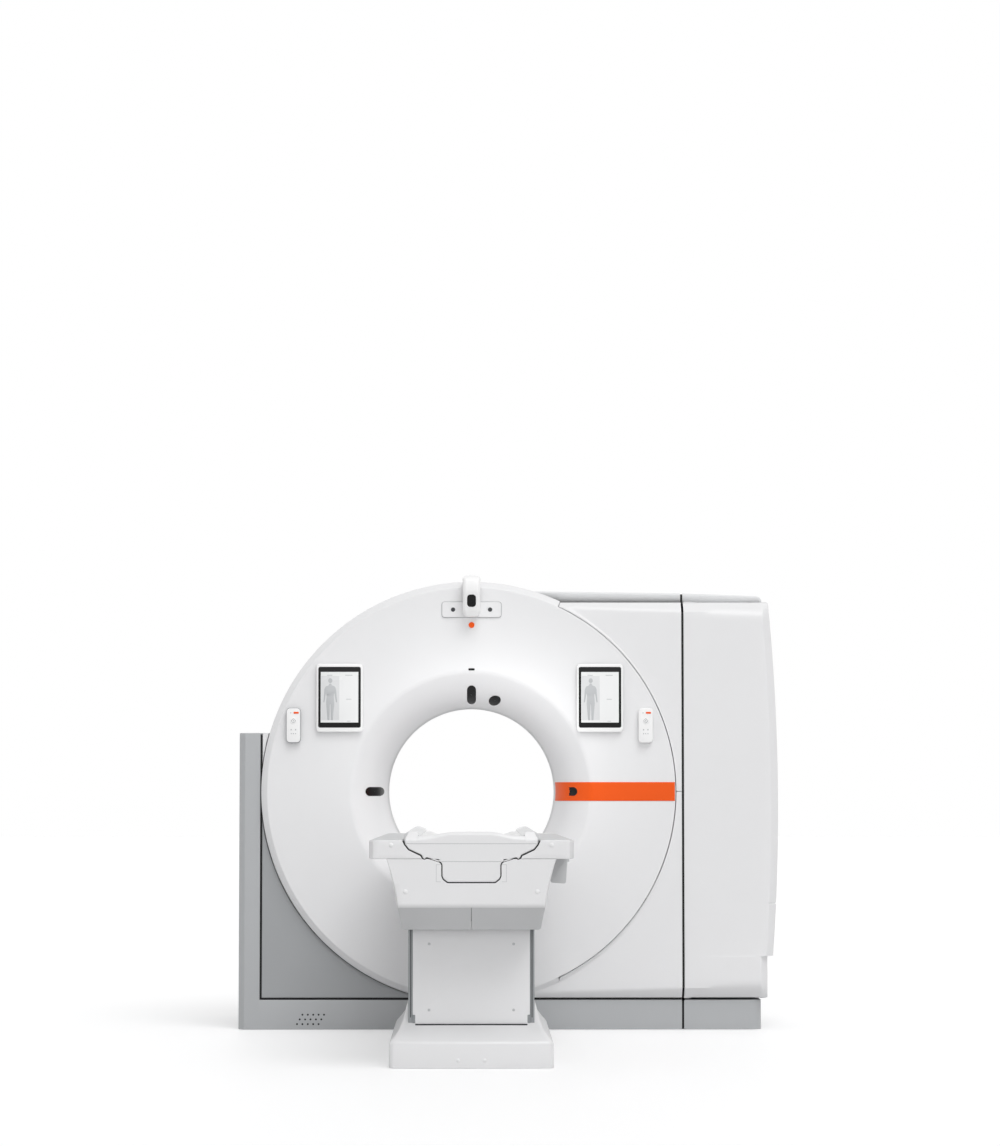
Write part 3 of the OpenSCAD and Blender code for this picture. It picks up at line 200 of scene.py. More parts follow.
class Shape:
    """Collects grids and lofts in millimetres and turns them into one finished object."""

    def __init__(self) -> None:
        """Starts empty."""
        self.verts: list[Array] = []
        self.faces: list[tuple[int, ...]] = []
        self.count = 0

    def grid(self, p: Array, face: Sequence[float] | None = None,
             close: tuple[bool, bool] = (False, False)) -> None:
        """Adds a grid of quads.

        Args:
            p: (m, n, 3) points.
            face: direction that most faces look to; None means outwards from a closed form.
            close: whether the grid joins itself along each of its two ways.
        """
        m, n = p.shape[:2]
        i = np.arange(m if close[0] else m - 1)
        j = np.arange(n if close[1] else n - 1)
        i, j = np.meshgrid(i, j, indexing="ij")
        i2, j2 = (i + 1) % m, (j + 1) % n
        quads = np.stack([i * n + j, i * n + j2, i2 * n + j2, i2 * n + j], -1).reshape(-1, 4)
        flat = p.reshape(-1, 3)
        a, b, c, d = (flat[quads[:, k]] for k in range(4))
        normal = np.cross(c - a, d - b)
        if face is None:
            turned = float(np.sum(normal * ((a + c) / 2 - flat.mean(0)))) < 0
        else:
            turned = float((normal @ np.asarray(face, float)).sum()) < 0
        self._add(flat, quads[:, ::-1] if turned else quads)

    def loft(self, loops: Array, caps: tuple[bool, bool] = (True, True)) -> None:
        """Adds a closed form from (k, n, 3) loops, with a flat cap on its first and last loop where asked."""
        k, n = loops.shape[:2]
        flat = loops.reshape(-1, 3)
        i, j = np.meshgrid(np.arange(k - 1), np.arange(n), indexing="ij")
        j2 = (j + 1) % n
        quads = np.stack([i * n + j, i * n + j2, (i + 1) * n + j2, (i + 1) * n + j], -1).reshape(-1, 4)
        axis = loops[-1].mean(0) - loops[0].mean(0)
        a, b, c, d = (flat[quads[:, q]] for q in range(4))
        middle = (a + c) / 2
        centre = flat.mean(0)
        out = middle - centre
        norm2 = max(float(axis @ axis), 1e-9)
        out -= (out @ axis)[:, None] * axis / norm2
        turned = float(np.sum(np.cross(c - a, d - b) * out)) < 0
        faces: list[tuple[int, ...]] = [tuple(q) for q in (quads[:, ::-1] if turned else quads).tolist()]
        first, last = list(range(n)), list(range((k - 1) * n, k * n))
        if caps[0]:
            faces.append(tuple(first if turned else first[::-1]))
        if caps[1]:
            faces.append(tuple(last[::-1] if turned else last))
        self._add(flat, faces)

    def prism(self, outline: Array, low: float, high: float, edge: float,
              place: Callable[[Array, float], Array], steps: int = 3,
              ends: tuple[bool, bool] = (True, True)) -> None:
        """Adds a solid of constant section with rounded end edges.

        Args:
            outline: (n, 2) closed section.
            low, high: where it starts and ends along its length.
            edge: radius of the rounded end edges.
            place: puts a section and its distance into space.
            steps: loops in each rounded edge.
            ends: which ends have a rounded edge.
        """
        a = np.linspace(0.0, math.pi / 2, steps + 1)
        out, along = edge * (1 - np.sin(a)), edge * (1 - np.cos(a))
        loops = [place(outline, low)]
        if ends[0]:
            loops = [place(inset(outline, o), low + s) for o, s in zip(out, along)]
        if ends[1]:
            loops += [place(inset(outline, o), high - s) for o, s in zip(out[::-1], along[::-1])]
        else:
            loops.append(place(outline, high))
        self.loft(np.array(loops))

    def between(self, x: Array, low: Array, high: Array, y0: float, y1: float, edge: tuple[float, float],
                warp: Callable[[Array], Array] = lambda p: p, long_steps: int = 12, rows: int = 5) -> None:
        """Adds a long solid whose section lies between two curves over x, with rounded ends.

        Args:
            x, low, high: the section's stations and its lower and upper height at each.
            y0, y1: where it starts and ends along y.
            edge: radius of the rounding at its start and at its end.
            warp: moves the finished points, such as for a taper.
            long_steps: loops between the two ends.
            rows: rows up each end.
        """
        a = np.linspace(0.0, math.pi / 2, 4)
        start = np.stack([edge[0] * (1 - np.sin(a)), edge[0] * (1 - np.cos(a))], 1)
        stop = np.stack([edge[1] * (1 - np.sin(a)), edge[1] * (1 - np.cos(a))], 1)[::-1]
        y = np.concatenate([y0 + start[:, 1], np.linspace(y0 + edge[0], y1 - edge[1], long_steps)[1:-1],
                            y1 - stop[:, 1]])
        o = np.concatenate([start[:, 0], np.zeros(long_steps - 2), stop[:, 0]])[:, None]
        tall = np.maximum(high - low, 1e-6)
        o = np.minimum(o, 0.45 * tall)
        middle = 0.5 * (x[0] + x[-1])
        wide = middle + (x - middle) * (1 - o.max(1, keepdims=True) / (x[-1] - middle))
        bottom = np.stack([wide, y[:, None] + 0 * wide, low + o], -1)
        top = np.stack([wide, y[:, None] + 0 * wide, high - o], -1)
        self.grid(warp(bottom), (0, 0, -1))
        self.grid(warp(top), (0, 0, 1))
        v = np.linspace(0.0, 1.0, rows)[:, None, None]
        for k, way in ((0, (0, -1, 0)), (-1, (0, 1, 0))):
            self.grid(warp(bottom[k][None] * (1 - v) + top[k][None] * v), way)
        for k, way in ((0, (-1, 0, 0)), (-1, (1, 0, 0))):
            if tall[k] > 0.05:
                self.grid(warp(bottom[:, k][None] * (1 - v) + top[:, k][None] * v), way)

    def _add(self, verts: Array, faces: Array | Sequence[tuple[int, ...]]) -> None:
        """Appends vertices and faces, shifting the indices."""
        base = self.count
        self.verts.append(verts)
        rows = faces.tolist() if isinstance(faces, np.ndarray) else faces
        self.faces.extend(tuple(base + i for i in row) for row in rows)
        self.count += len(verts)

    def finish(self, name: str, material: bpy.types.Material, body: str, stands_for: Sequence[str] = (),
               slot: str | None = None, wall: float = 0.0, sharp: float = 32.0) -> bpy.types.Object:
        """Makes the object and lets it ride on its body.

        Args:
            name: the piece's name.
            material: its finish.
            body: the CAD body that it moves with.
            stands_for: CAD nodes that it replaces.
            slot: the record's material slot; not used.
            wall: thickness given to an open sheet, inwards, in millimetres.
            sharp: angle in degrees past which an edge stays sharp.

        Returns:
            The new object, at the origin.
        """
        verts = np.concatenate(self.verts) * MM
        mesh = bpy.data.meshes.new(name)
        mesh.from_pydata(verts.tolist(), [], self.faces)
        mesh.validate()
        mesh.polygons.foreach_set("use_smooth", [True] * len(mesh.polygons))
        weld(mesh)
        mesh.set_sharp_from_angle(angle=math.radians(sharp))
        mesh.materials.append(material)
        piece = bpy.data.objects.new(name, mesh)
        bpy.context.scene.collection.objects.link(piece)
        if wall > 0.0:
            solid = piece.modifiers.new("wall", "SOLIDIFY")
            solid.thickness = wall * MM
            solid.offset = -1.0
        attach(piece, body)
        if stands_for:
            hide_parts(*stands_for)
        log.info("%s: %d faces", name, len(mesh.polygons))
        return piece


def weld(mesh: bpy.types.Mesh) -> None:
    """Merges vertices closer than a fiftieth of a millimetre and drops faces that vanish with them."""
    work = bmesh.new()
    work.from_mesh(mesh)
    bmesh.ops.remove_doubles(work, verts=work.verts, dist=0.02 * MM)
    bmesh.ops.dissolve_degenerate(work, edges=work.edges, dist=1e-7)
    work.to_mesh(mesh)
    work.free()


def along_y(section: Array, y: float) -> Array:
    """Section (x, z) placed at y."""
    return np.stack([section[:, 0], np.full(len(section), y), section[:, 1]], 1)


def along_z(section: Array, z: float) -> Array:
    """Section (x, y) placed at z."""
    return np.stack([section[:, 0], section[:, 1], np.full(len(section), z)], 1)


def along_x(section: Array, x: float) -> Array:
    """Section (y, z) placed at x."""
    return np.stack([np.full(len(section), x), section[:, 0], section[:, 1]], 1)


# Finishes


def tone(code: str) -> tuple[float, float, float, float]:
    """Linear colour of a six-digit sRGB code."""
    raw = [int(code[i : i + 2], 16) / 255 for i in (0, 2, 4)]
    lin = [c / 12.92 if c <= 0.04045 else ((c + 0.055) / 1.055) ** 2.4 for c in raw]
    return (lin[0], lin[1], lin[2], 1.0)


class Nodes:
    """A few short calls around a node tree."""

    def __init__(self, tree: bpy.types.NodeTree) -> None:
        """Keeps the tree."""
        self.tree = tree

    def add(self, kind: str, **values: object) -> bpy.types.Node:
        """New node; keywords set its properties, and those named in_ set its inputs by name."""
        node = self.tree.nodes.new(kind)
        for key, value in values.items():
            if key.startswith("in_"):
                node.inputs[key[3:].replace("_", " ")].default_value = value
            else:
                setattr(node, key, value)
        return node

    def link(self, a: bpy.types.NodeSocket, b: bpy.types.NodeSocket) -> None:
        """Joins two sockets."""
        self.tree.links.new(a, b)


class SurfaceGroup:
    """Node group for every painted or moulded surface: soft mottling, fine grain bump and broad patches that
    are darker towards the floor."""

    _made: bpy.types.NodeTree | None = None

    @classmethod
    def tree(cls) -> bpy.types.NodeTree:
        """The group, built on first use."""
        if cls._made is None:
            cls._made = cls._build()
        return cls._made

    @staticmethod
    def _build() -> bpy.types.NodeTree:
        """Colour = colour * (1 + mottle * noise - low darkening * noise near the floor); roughness varies
        with the same noise.
        """
        tree = bpy.data.node_groups.new("moulded_surface", "ShaderNodeTree")
        face = tree.interface
        for name, kind, value in (("Color", "NodeSocketColor", (0.8, 0.8, 0.8, 1.0)),
                                  ("Mottle", "NodeSocketFloat", 0.03), ("Low Darkening", "NodeSocketFloat", 0.03),
                                  ("Roughness", "NodeSocketFloat", 0.4),
                                  ("Grain Scale", "NodeSocketFloat", 600.0),
                                  ("Grain Depth", "NodeSocketFloat", 0.1)):
            face.new_socket(name, in_out="INPUT", socket_type=kind).default_value = value
        for name, kind in (("Color", "NodeSocketColor"), ("Roughness", "NodeSocketFloat"),
                           ("Normal", "NodeSocketVector")):
            face.new_socket(name, in_out="OUTPUT", socket_type=kind)
        n = Nodes(tree)
        src, out = n.add("NodeGroupInput"), n.add("NodeGroupOutput")
        coord = n.add("ShaderNodeTexCoord")
        broad = n.add("ShaderNodeTexNoise", in_Scale=2.6, in_Detail=4.0, in_Roughness=0.62)
        fine = n.add("ShaderNodeTexNoise", in_Detail=2.0)
        low = n.add("ShaderNodeSeparateXYZ")
        for node in (broad, fine):
            n.link(coord.outputs["Object"], node.inputs["Vector"])
        n.link(coord.outputs["Object"], low.inputs[0])
        n.link(src.outputs["Grain Scale"], fine.inputs["Scale"])
        centred = n.add("ShaderNodeMath", operation="SUBTRACT")
        n.link(broad.outputs["Fac"], centred.inputs[0])
        centred.inputs[1].default_value = 0.5
        mottle = n.add("ShaderNodeMath", operation="MULTIPLY")
        n.link(centred.outputs[0], mottle.inputs[0])
        n.link(src.outputs["Mottle"], mottle.inputs[1])
        # darker in broad patches over the lowest 0.3 m, towards the floor
        near_floor = n.add("ShaderNodeMapRange")
        n.link(low.outputs["Z"], near_floor.inputs["Value"])
        for key, value in (("From Min", 0.30), ("From Max", 0.0), ("To Min", 0.0), ("To Max", 1.0)):
            near_floor.inputs[key].default_value = value
        low_patch = n.add("ShaderNodeMath", operation="MULTIPLY")
        n.link(near_floor.outputs["Result"], low_patch.inputs[0])
        n.link(broad.outputs["Fac"], low_patch.inputs[1])
        low_darkening = n.add("ShaderNodeMath", operation="MULTIPLY")
        n.link(low_patch.outputs[0], low_darkening.inputs[0])
        n.link(src.outputs["Low Darkening"], low_darkening.inputs[1])
        total = n.add("ShaderNodeMath", operation="SUBTRACT")
        n.link(mottle.outputs[0], total.inputs[0])
        n.link(low_darkening.outputs[0], total.inputs[1])
        factor = n.add("ShaderNodeMath", operation="ADD")
        n.link(total.outputs[0], factor.inputs[0])
        factor.inputs[1].default_value = 1.0
        tint = n.add("ShaderNodeVectorMath", operation="SCALE")
        n.link(src.outputs["Color"], tint.inputs[0])
        n.link(factor.outputs[0], tint.inputs["Scale"])
        n.link(tint.outputs[0], out.inputs["Color"])
        spread = n.add("ShaderNodeMath", operation="MULTIPLY_ADD")
        n.link(centred.outputs[0], spread.inputs[0])
        spread.inputs[1].default_value = 0.18
        n.link(src.outputs["Roughness"], spread.inputs[2])
        n.link(spread.outputs[0], out.inputs["Roughness"])
        bump = n.add("ShaderNodeBump", in_Distance=0.0004)
        n.link(src.outputs["Grain Depth"], bump.inputs["Strength"])
        n.link(fine.outputs["Fac"], bump.inputs["Height"])
        n.link(bump.outputs[0], out.inputs["Normal"])
        return tree


@dataclass(frozen=True)
class Finish:
    """A painted, moulded or metal finish made from the shared surface group."""

    name: str
    color: str
    roughness: float = 0.42
    metallic: float = 0.0
    mottle: float = 0.03
    # how much darker the broad patches near the floor are
    low_darkening: float = 0.05
    grain_scale: float = 700.0
    grain_depth: float = 0.10
    coat: float = 0.0
    glow: float = 0.0
    shine: float = 0.5

    def build(self) -> bpy.types.Material:
        """The material: one group for colour, roughness and bump, feeding one Principled shader."""
        known = bpy.data.materials.get(self.name + "_finish")
        if known:
            return known
        mat = bpy.data.materials.new(self.name + "_finish")
        mat.use_nodes = True
        mat.diffuse_color = tone(self.color)
        n = Nodes(mat.node_tree)
        shader = mat.node_tree.nodes["Principled BSDF"]
        group = n.add("ShaderNodeGroup")
        group.node_tree = SurfaceGroup.tree()
        for key, value in (("Color", tone(self.color)), ("Mottle", self.mottle), ("Low Darkening", self.low_darkening),
                           ("Roughness", self.roughness), ("Grain Scale", self.grain_scale),
                           ("Grain Depth", self.grain_depth)):
            group.inputs[key].default_value = value
        shader.inputs["Metallic"].default_value = self.metallic
        shader.inputs["Coat Weight"].default_value = self.coat
        shader.inputs["Coat Roughness"].default_value = 0.12
        shader.inputs["Specular IOR Level"].default_value = self.shine
        n.link(group.outputs["Color"], shader.inputs["Base Color"])
        n.link(group.outputs["Roughness"], shader.inputs["Roughness"])
        n.link(group.outputs["Normal"], shader.inputs["Normal"])
        if self.glow > 0.0:
            shader.inputs["Emission Color"].default_value = tone(self.color)
            shader.inputs["Emission Strength"].default_value = self.glow
        return mat


class Paint(Enum):
    """The finishes of the scanner's parts."""

    COVER = Finish("cover_white", "E9E9EA", roughness=0.40, coat=0.15)
    GREY = Finish("frame_grey", "B1B3B5", roughness=0.38, coat=0.1, mottle=0.04)
    # painted shade: a darker copy of the frame grey above, the same grey material, for the lower-left panel
    PANEL = Finish("panel_grey_shaded", "A3A5A7", roughness=0.45, mottle=0.04)
    TOP = Finish("top_grey", "E4E5E6", roughness=0.45)
    TABLE = Finish("table_white", "E4E4E5", roughness=0.36, coat=0.2)
    # painted shade: a grey copy of the table white for the skirt and the pocket under the wings
    TABLE_GREY = Finish("table_white_shaded", "C9CACB", roughness=0.45)
    PLATE = Finish("plate_white", "EAEAEB", roughness=0.4)
    CHANNEL = Finish("channel_metal", "8F9294", roughness=0.42, metallic=0.6, grain_scale=250.0)
    # black that stands for the shade inside gaps, holes and slots: painted shade
    SEAL = Finish("seal_black", "1C1C1D", roughness=0.75, mottle=0.2)
    # grey of painted shade for seam grooves and the camera bracket's shadow gap
    LINE = Finish("seam_shade_line", "9A9B9D", roughness=0.6)
    # pale grey of painted shade along the edges of a recess
    RECESS = Finish("recess_line", "C3C4C6", roughness=0.6)
    ORANGE = Finish("accent_orange", "F25A0E", roughness=0.45, shine=0.25)
    LIGHT = Finish("status_orange", "F05A10", roughness=0.4, glow=0.1, shine=0.25)
    WINDOW = Finish("dark_window", "0E0E0F", roughness=0.22, mottle=0.1, grain_depth=0.02, shine=0.3)
    LINER = Finish("window_ring", "CDCECF", roughness=0.35)
    DEVICE = Finish("device_white", "F4F4F4", roughness=0.36, coat=0.15)
    EDGE = Finish("device_edge", "8E9194", roughness=0.45)
    WING_TOP = Finish("wing_top_grey", "C8C9CA", roughness=0.5)
    CAP = Finish("cap_white", "EAEAEB", roughness=0.4)
    BEZEL = Finish("bezel_dark", "101011", roughness=0.3, grain_depth=0.02, shine=0.25)
    SCREEN = Finish("screen_light", "DADBDC", roughness=0.25, coat=0.2, grain_depth=0.01, glow=0.03)
    SCREEN_BAR = Finish("screen_bar", "E7E8E8", roughness=0.25, coat=0.2, grain_depth=0.01, glow=0.06)
    SCREEN_SHADE = Finish("screen_shade", "BDBFC1", roughness=0.25, coat=0.2, grain_depth=0.01)
    CRADLE = Finish("cradle_grey", "D2D3D4", roughness=0.34, coat=0.25, grain_scale=350.0)
    STEEL = Finish("frame_steel", "8C9094", roughness=0.5, metallic=0.3, mottle=0.08)
    BRIGHT = Finish("bearing_steel", "C2C5C8", roughness=0.28, metallic=0.9, grain_scale=900.0)
    BRASS = Finish("ring_brass", "B98A4A", roughness=0.32, metallic=0.9)
    DARK = Finish("inner_dark", "3B3D40", roughness=0.6)
    RUBBER = Finish("belt_rubber", "232323", roughness=0.8)
    HOUSING = Finish("housing_light", "CDCFD1", roughness=0.4, metallic=0.4)
    SCREW = Finish("screw_cap", "BFC0C2", roughness=0.4, metallic=0.3)

    def material(self) -> bpy.types.Material:
        """The Blender material of this finish."""
        return self.value.build()


# Gantry


@dataclass
class FrontCover:
    """The round front moulding: funnel, crease, flat face and sloped rim, with the band and windows on it."""

    bore_r: float = 350.0
    arc_r: float = 350.0
    throat_y: float = -200.0
    face_y: float = -480.0
    crease_r: float = 40.0
    face_r: float = 836.0
    disc_r: float = 861.0
    flush_angle: float = 64.9

    def __post_init__(self) -> None:
        """Finds the crease's centre and where it meets the funnel."""
        fc = self.bore_r + self.arc_r
        deep = self.throat_y - self.face_y - self.crease_r
        self.crease_x = fc - math.sqrt((self.arc_r - self.crease_r) ** 2 - deep**2)
        self.meet_angle = math.atan2(-deep, self.crease_x - fc) + 2 * math.pi
        self.meet_r = fc + self.arc_r * math.cos(self.meet_angle)

    def depth(self, r: Array) -> Array:
        """The cover's y at distance r from the scan axis: funnel arc, crease arc, then flat face."""
        r = np.asarray(r, float)
        fc = self.bore_r + self.arc_r
        funnel = self.throat_y - np.sqrt(np.maximum(self.arc_r**2 - (fc - r) ** 2, 0.0))
        middle = self.face_y + self.crease_r
        crease = middle - np.sqrt(np.maximum(self.crease_r**2 - (self.crease_x - r) ** 2, 0.0))
        return np.where(r < self.meet_r, funnel, np.where(r < self.crease_x, crease, self.face_y))

    def cover(self) -> None:
        """Grid over angle and profile; the rim fades to a flush edge where the right panels meet the face."""
        fc = self.bore_r + self.arc_r
        funnel = circle(self.arc_r, 44, fc, self.throat_y, 180.0, math.degrees(self.meet_angle))
        middle = self.face_y + self.crease_r
        crease = circle(self.crease_r, 14, self.crease_x, middle, math.degrees(self.meet_angle), 270.0)[1:]
        flat = np.stack([np.linspace(self.crease_x, self.face_r - 12, 18)[1:], np.full(17, self.face_y)], 1)
        inner = np.concatenate([[[self.bore_r, self.throat_y]], funnel[1:], crease, flat])
        slope = self.disc_r - self.face_r
        rim = fillet([(self.face_r - 11, self.face_y), (self.face_r, self.face_y),
                      (self.disc_r, self.face_y + slope), (self.disc_r, self.face_y + slope + 11)],
                     (0, 7, 5, 0), False, 6)
        flush = fillet([(self.face_r - 11, self.face_y), (self.face_r - 2.5, self.face_y),
                        (self.face_r, self.face_y + 2.5), (self.face_r, self.face_y + 34)],
                       (0, 3, 2, 0), False, 6)
        turn = self.flush_angle + np.array([-0.05, 0.0, 0.1, 0.15])
        angles = np.radians(np.unique(np.concatenate([np.linspace(0, 360, 289)[:-1], turn, 360.0 - turn])))
        side = np.abs((np.degrees(angles) + 180) % 360 - 180)
        w = smooth_step(side, self.flush_angle, self.flush_angle + 0.1)[:, None, None]
        outer = flush[None] * (1 - w) + rim[None] * w
        profile = np.concatenate([np.broadcast_to(inner, (len(angles), *inner.shape)), outer], 1)
        r, y = profile[..., 0], profile[..., 1]
        p = np.stack([r * np.cos(angles)[:, None], y, ISO + r * np.sin(angles)[:, None]], -1)
        shape = Shape()
        shape.grid(p, (0, -1, 0), (True, False))
        shape.finish("front_cover_shell", Paint.COVER.material(), "gantry", ("front_cover",),
                     "cover_white", 6.0)

    def band(self, half: float = 38.5, end_x: float = 833.0, proud: float = 1.6) -> None:
        """Orange band laid on the cover: x from the bore's rim to its end, z within half of the scan height.

        Each point stands off the surface along its normal (slope, -1) / sqrt(1 + slope^2) in radius and y."""
        rows = Edge(9, (0.8, 0.8), (2.4, 2.4), 2)
        cols = Edge(70, (0.8, 0.8), (2.4, 2.4), 2)
        z = rows.across(-half, half)[:, None]
        start = np.sqrt((self.bore_r + 0.8) ** 2 - z**2)
        x = start + (end_x - start) * cols.place**2 + cols.shift
        drop = np.maximum(rows.drop[:, None], cols.drop)
        r = np.hypot(x, z)
        slope = (self.depth(r + 0.2) - self.depth(r - 0.2)) / 0.4
        off = (proud - drop) / np.sqrt(1.0 + slope**2)
        scale = 1.0 + off * slope / r
        shape = Shape()
        shape.grid(np.stack([x * scale, self.depth(r) - off, ISO + z * scale], -1), (0, -1, 0))
        shape.finish("side_band_film", Paint.ORANGE.material(), "gantry", ("side_band",), "accent_orange")

    def on_face(self, shape: Shape, outline: Array, x: float, z: float, proud: float, roll: float) -> None:
        """Adds a raised window: rings of the outline shrink inwards while their y follows the cover's
        surface."""
        rings = [(0.0, 0.6), (0.0, -proud + roll), (0.3 * roll, -proud + 0.3 * roll), (roll, -proud)]
        outline = refine(np.concatenate([outline, outline[:1]]), 3.0)[:-1]
        loops = []
        for amount, off in rings:
            q = inset(outline, amount) + (x, z)
            loops.append(np.stack([q[:, 0], self.depth(np.hypot(q[:, 0], q[:, 1])) + off, ISO + q[:, 1]], 1))
        last = inset(outline, roll)
        for share in np.linspace(0.85, 0.02, 6):
            q = last * share + (x, z)
            loops.append(np.stack([q[:, 0], self.depth(np.hypot(q[:, 0], q[:, 1])) - proud,
                                   ISO + q[:, 1]], 1))
        shape.grid(np.array(loops), (0, -1, 0), (False, True))

    def windows(self) -> None:
        """Three laser windows, an oval sensor and a small pill-shaped one, all following the cover."""
        shape = Shape()
        pill = rounded_box(74, 37, 18.4, 10)
        self.on_face(shape, pill, 398, 0, 3.0, 1.2)
        self.on_face(shape, pill, -398, 0, 3.0, 1.2)
        self.on_face(shape, pill[:, ::-1], 0, 398, 3.0, 1.2)
        turn = math.radians(12)
        oval = circle(19.5, 40) * (1.28, 1.0) @ np.array([[math.cos(turn), math.sin(turn)],
                                                          [-math.sin(turn), math.cos(turn)]])
        self.on_face(shape, oval, 96, 375, 3.0, 1.2)
        self.on_face(shape, rounded_box(26, 9, 4.4, 6), 0, 500, 2.0, 0.8)
        shape.finish("laser_window_glass", Paint.WINDOW.material(), "gantry",
                     ("laser_windows",), "dark_window")

    def liner(self) -> None:
        """The bore's inner tube with a fine dark seam at each end: a profile turned about the scan axis."""
        profile = fillet([(350.0, -198.5), (350.0, 98.5), (357.0, 98.5), (357.0, -198.5)],
                         (1, 1, 0, 0), True, 3)
        a = np.radians(np.arange(0, 360, 2.0))[:, None]
        r, y = profile[:, 0][None], profile[:, 1][None]
        shape = Shape()
        p = np.stack([r * np.cos(a), y + 0 * a, ISO + r * np.sin(a)], -1)
        shape.grid(p, None, (True, True))
        shape.finish("scan_window_tube", Paint.LINER.material(), "gantry", ("scan_window",), "window_ring")

    def build(self) -> None:
        """Makes every piece of the front."""
        self.cover()
        self.band()
        self.windows()
        self.liner()


@dataclass
class SideCovers:
    """Panels, cabinet, post, plinth, top covers and drum skin around the round front."""

    panel_y: float = -440.0
    low_z: float = 129.0
    top_z: float = 1747.0
    split_low: float = 861.5
    split_high: float = 870.5
    side_x: float = 1259.0
    bulge_r: float = 8641.0
    step_z: float = 300.0
    back_y: float = 412.0
    drum_r: float = 853.0

    def front(self, x: Array | float) -> Array:
        """The right covers' front swells evenly: panel plane minus 10 mm minus 40 mm over the width."""
        return self.panel_y - 10.0 - 40.0 / 1221.0 * np.asarray(x, float)

    def sloped(self, y: Array, z: Array) -> Array:
        """Cuts a front y by the 45 degree slopes that rise from the panel plane at the bottom and top
        edge."""
        y = smooth_max(y, self.panel_y - (z - self.low_z), 5.0)
        return smooth_max(y, self.panel_y - (self.top_z - z), 5.0)

    def rim_x(self, dz: Array) -> Array:
        """Edge beside the round cover: a circle of 839 mm, a short ray outwards, then the line where the
        swelling front meets the rim's slope, whose radius is 866 mm less a thirtieth of x."""
        steep = math.tan(math.radians(64.8))
        far = np.abs(dz)
        near = np.sqrt(np.maximum(839.0**2 - far**2, 0.0))
        wide = np.sqrt(np.maximum(864.0**2 - far**2, 0.0))
        for _ in range(3):
            wide = np.sqrt(np.maximum((866.0 - 40.0 / 1221.0 * wide) ** 2 - far**2, 0.0))
        return np.maximum(near, np.minimum(far / steep, wide))

    def beside_rim(self, x: Array, z: Array) -> Array:
        """Right panels' front: the swelling plane, lifted to the round cover's face by a 45 degree bevel at
        its edge."""
        bevel = -480.0 + np.maximum(np.hypot(x, z - ISO) - 836.0, 0.0)
        return -smooth_max(-self.front(x), -bevel, 3.0)

    def side(self, z: Array) -> Array:
        """The cabinet's right side: a long arc, a step in near the bottom and a fine groove."""
        x = self.side_x - (self.bulge_r - np.sqrt(self.bulge_r**2 - (z - 938.0) ** 2))
        x = x - 3.0 * smooth_step(3.4 - np.abs(z - 513.5), 0.0, 1.0)
        return np.where(z < self.step_z,
                        1212.0 + (x - 1212.0) * smooth_step(z, self.step_z - 3, self.step_z), x)

    def right_panels(self) -> None:
        """Upper and lower right panel: rows of constant z from the round edge to the cabinet seam."""
        for name, low, high, radius in (("right_panel_lower", self.low_z, ISO - 1, (3.0, 1.2)),
                                        ("right_panel_upper", ISO + 1, self.top_z, (1.2, 4.0))):
            rows = Edge(110, radius, (24.0, 24.0))
            cols = Edge(60, (1.0, 3.0), (30.0, 30.0))
            z = rows.across(low, high)[:, None]
            rim = self.rim_x(z - ISO)
            room = self.split_low - rim
            near = np.minimum(0.8 * room, 28.0 * np.hypot(rim, z - ISO) / rim)
            first = np.minimum(cols.place / 0.4, 1.0)
            rest = np.maximum((cols.place - 0.4) / 0.6, 0.0)
            x = rim + near * first + (room - near) * rest + cols.shift
            y = self.sloped(self.beside_rim(x, z + 0 * x),
                            z + 0 * x) + np.maximum(rows.drop[:, None], cols.drop)
            shape = Shape()
            shape.grid(np.stack([x, y, z + 0 * x], -1), (0, -1, 0))
            shape.finish(name + "_skin", Paint.COVER.material(), "gantry", (name,), "cover_white", 3.0)

    def cabinet(self) -> None:
        """Cabinet skin: a plan path round the front corner, repeated upwards and pulled to the bulging
        side."""
        corner = 34.0
        f = self.front
        path = fillet([(self.split_high, f(self.split_high) + 30), (self.split_high, f(self.split_high)),
                       (self.side_x - corner, f(self.side_x - corner)),
                       (self.side_x, f(self.side_x) + corner * 1.4), (self.side_x, self.back_y - 3),
                       (self.side_x - 3, self.back_y)], (0, 3, 14, 20, 0, 0), False, 6)
        path = refine(path, 45.0)
        tangent = np.gradient(path, axis=0)
        tangent /= np.linalg.norm(tangent, axis=1, keepdims=True)
        inward = np.stack([-tangent[:, 1], tangent[:, 0]], 1)
        rows = Edge(90, (5.0, 6.0), (30.0, 60.0))
        z = rows.across(self.low_z, self.top_z)
        extra = np.array([self.step_z - 3.1, self.step_z - 2, self.step_z - 1, self.step_z + 0.1, 509.8,
                          510.6, 511.4, 515.6, 516.4, 517.2])
        z = np.concatenate([z, extra])
        order = np.argsort(z, kind="stable")
        drop = np.concatenate([rows.drop, np.zeros(len(extra))])[order][:, None]
        z = z[order][:, None]
        share = (path[:, 0] - self.split_high) / (self.side_x - self.split_high)
        x = self.split_high + share * (self.side(z) - self.split_high) + inward[:, 0] * drop
        y = self.sloped(path[:, 1] + 0 * z, z + 0 * x) + inward[:, 1] * drop
        shape = Shape()
        shape.grid(np.stack([x, y, z + 0 * x], -1), (1, -1, 0))
        shape.finish("cabinet_cover_skin", Paint.COVER.material(), "gantry", ("cabinet_cover",),
                     "cover_white", 3.0)

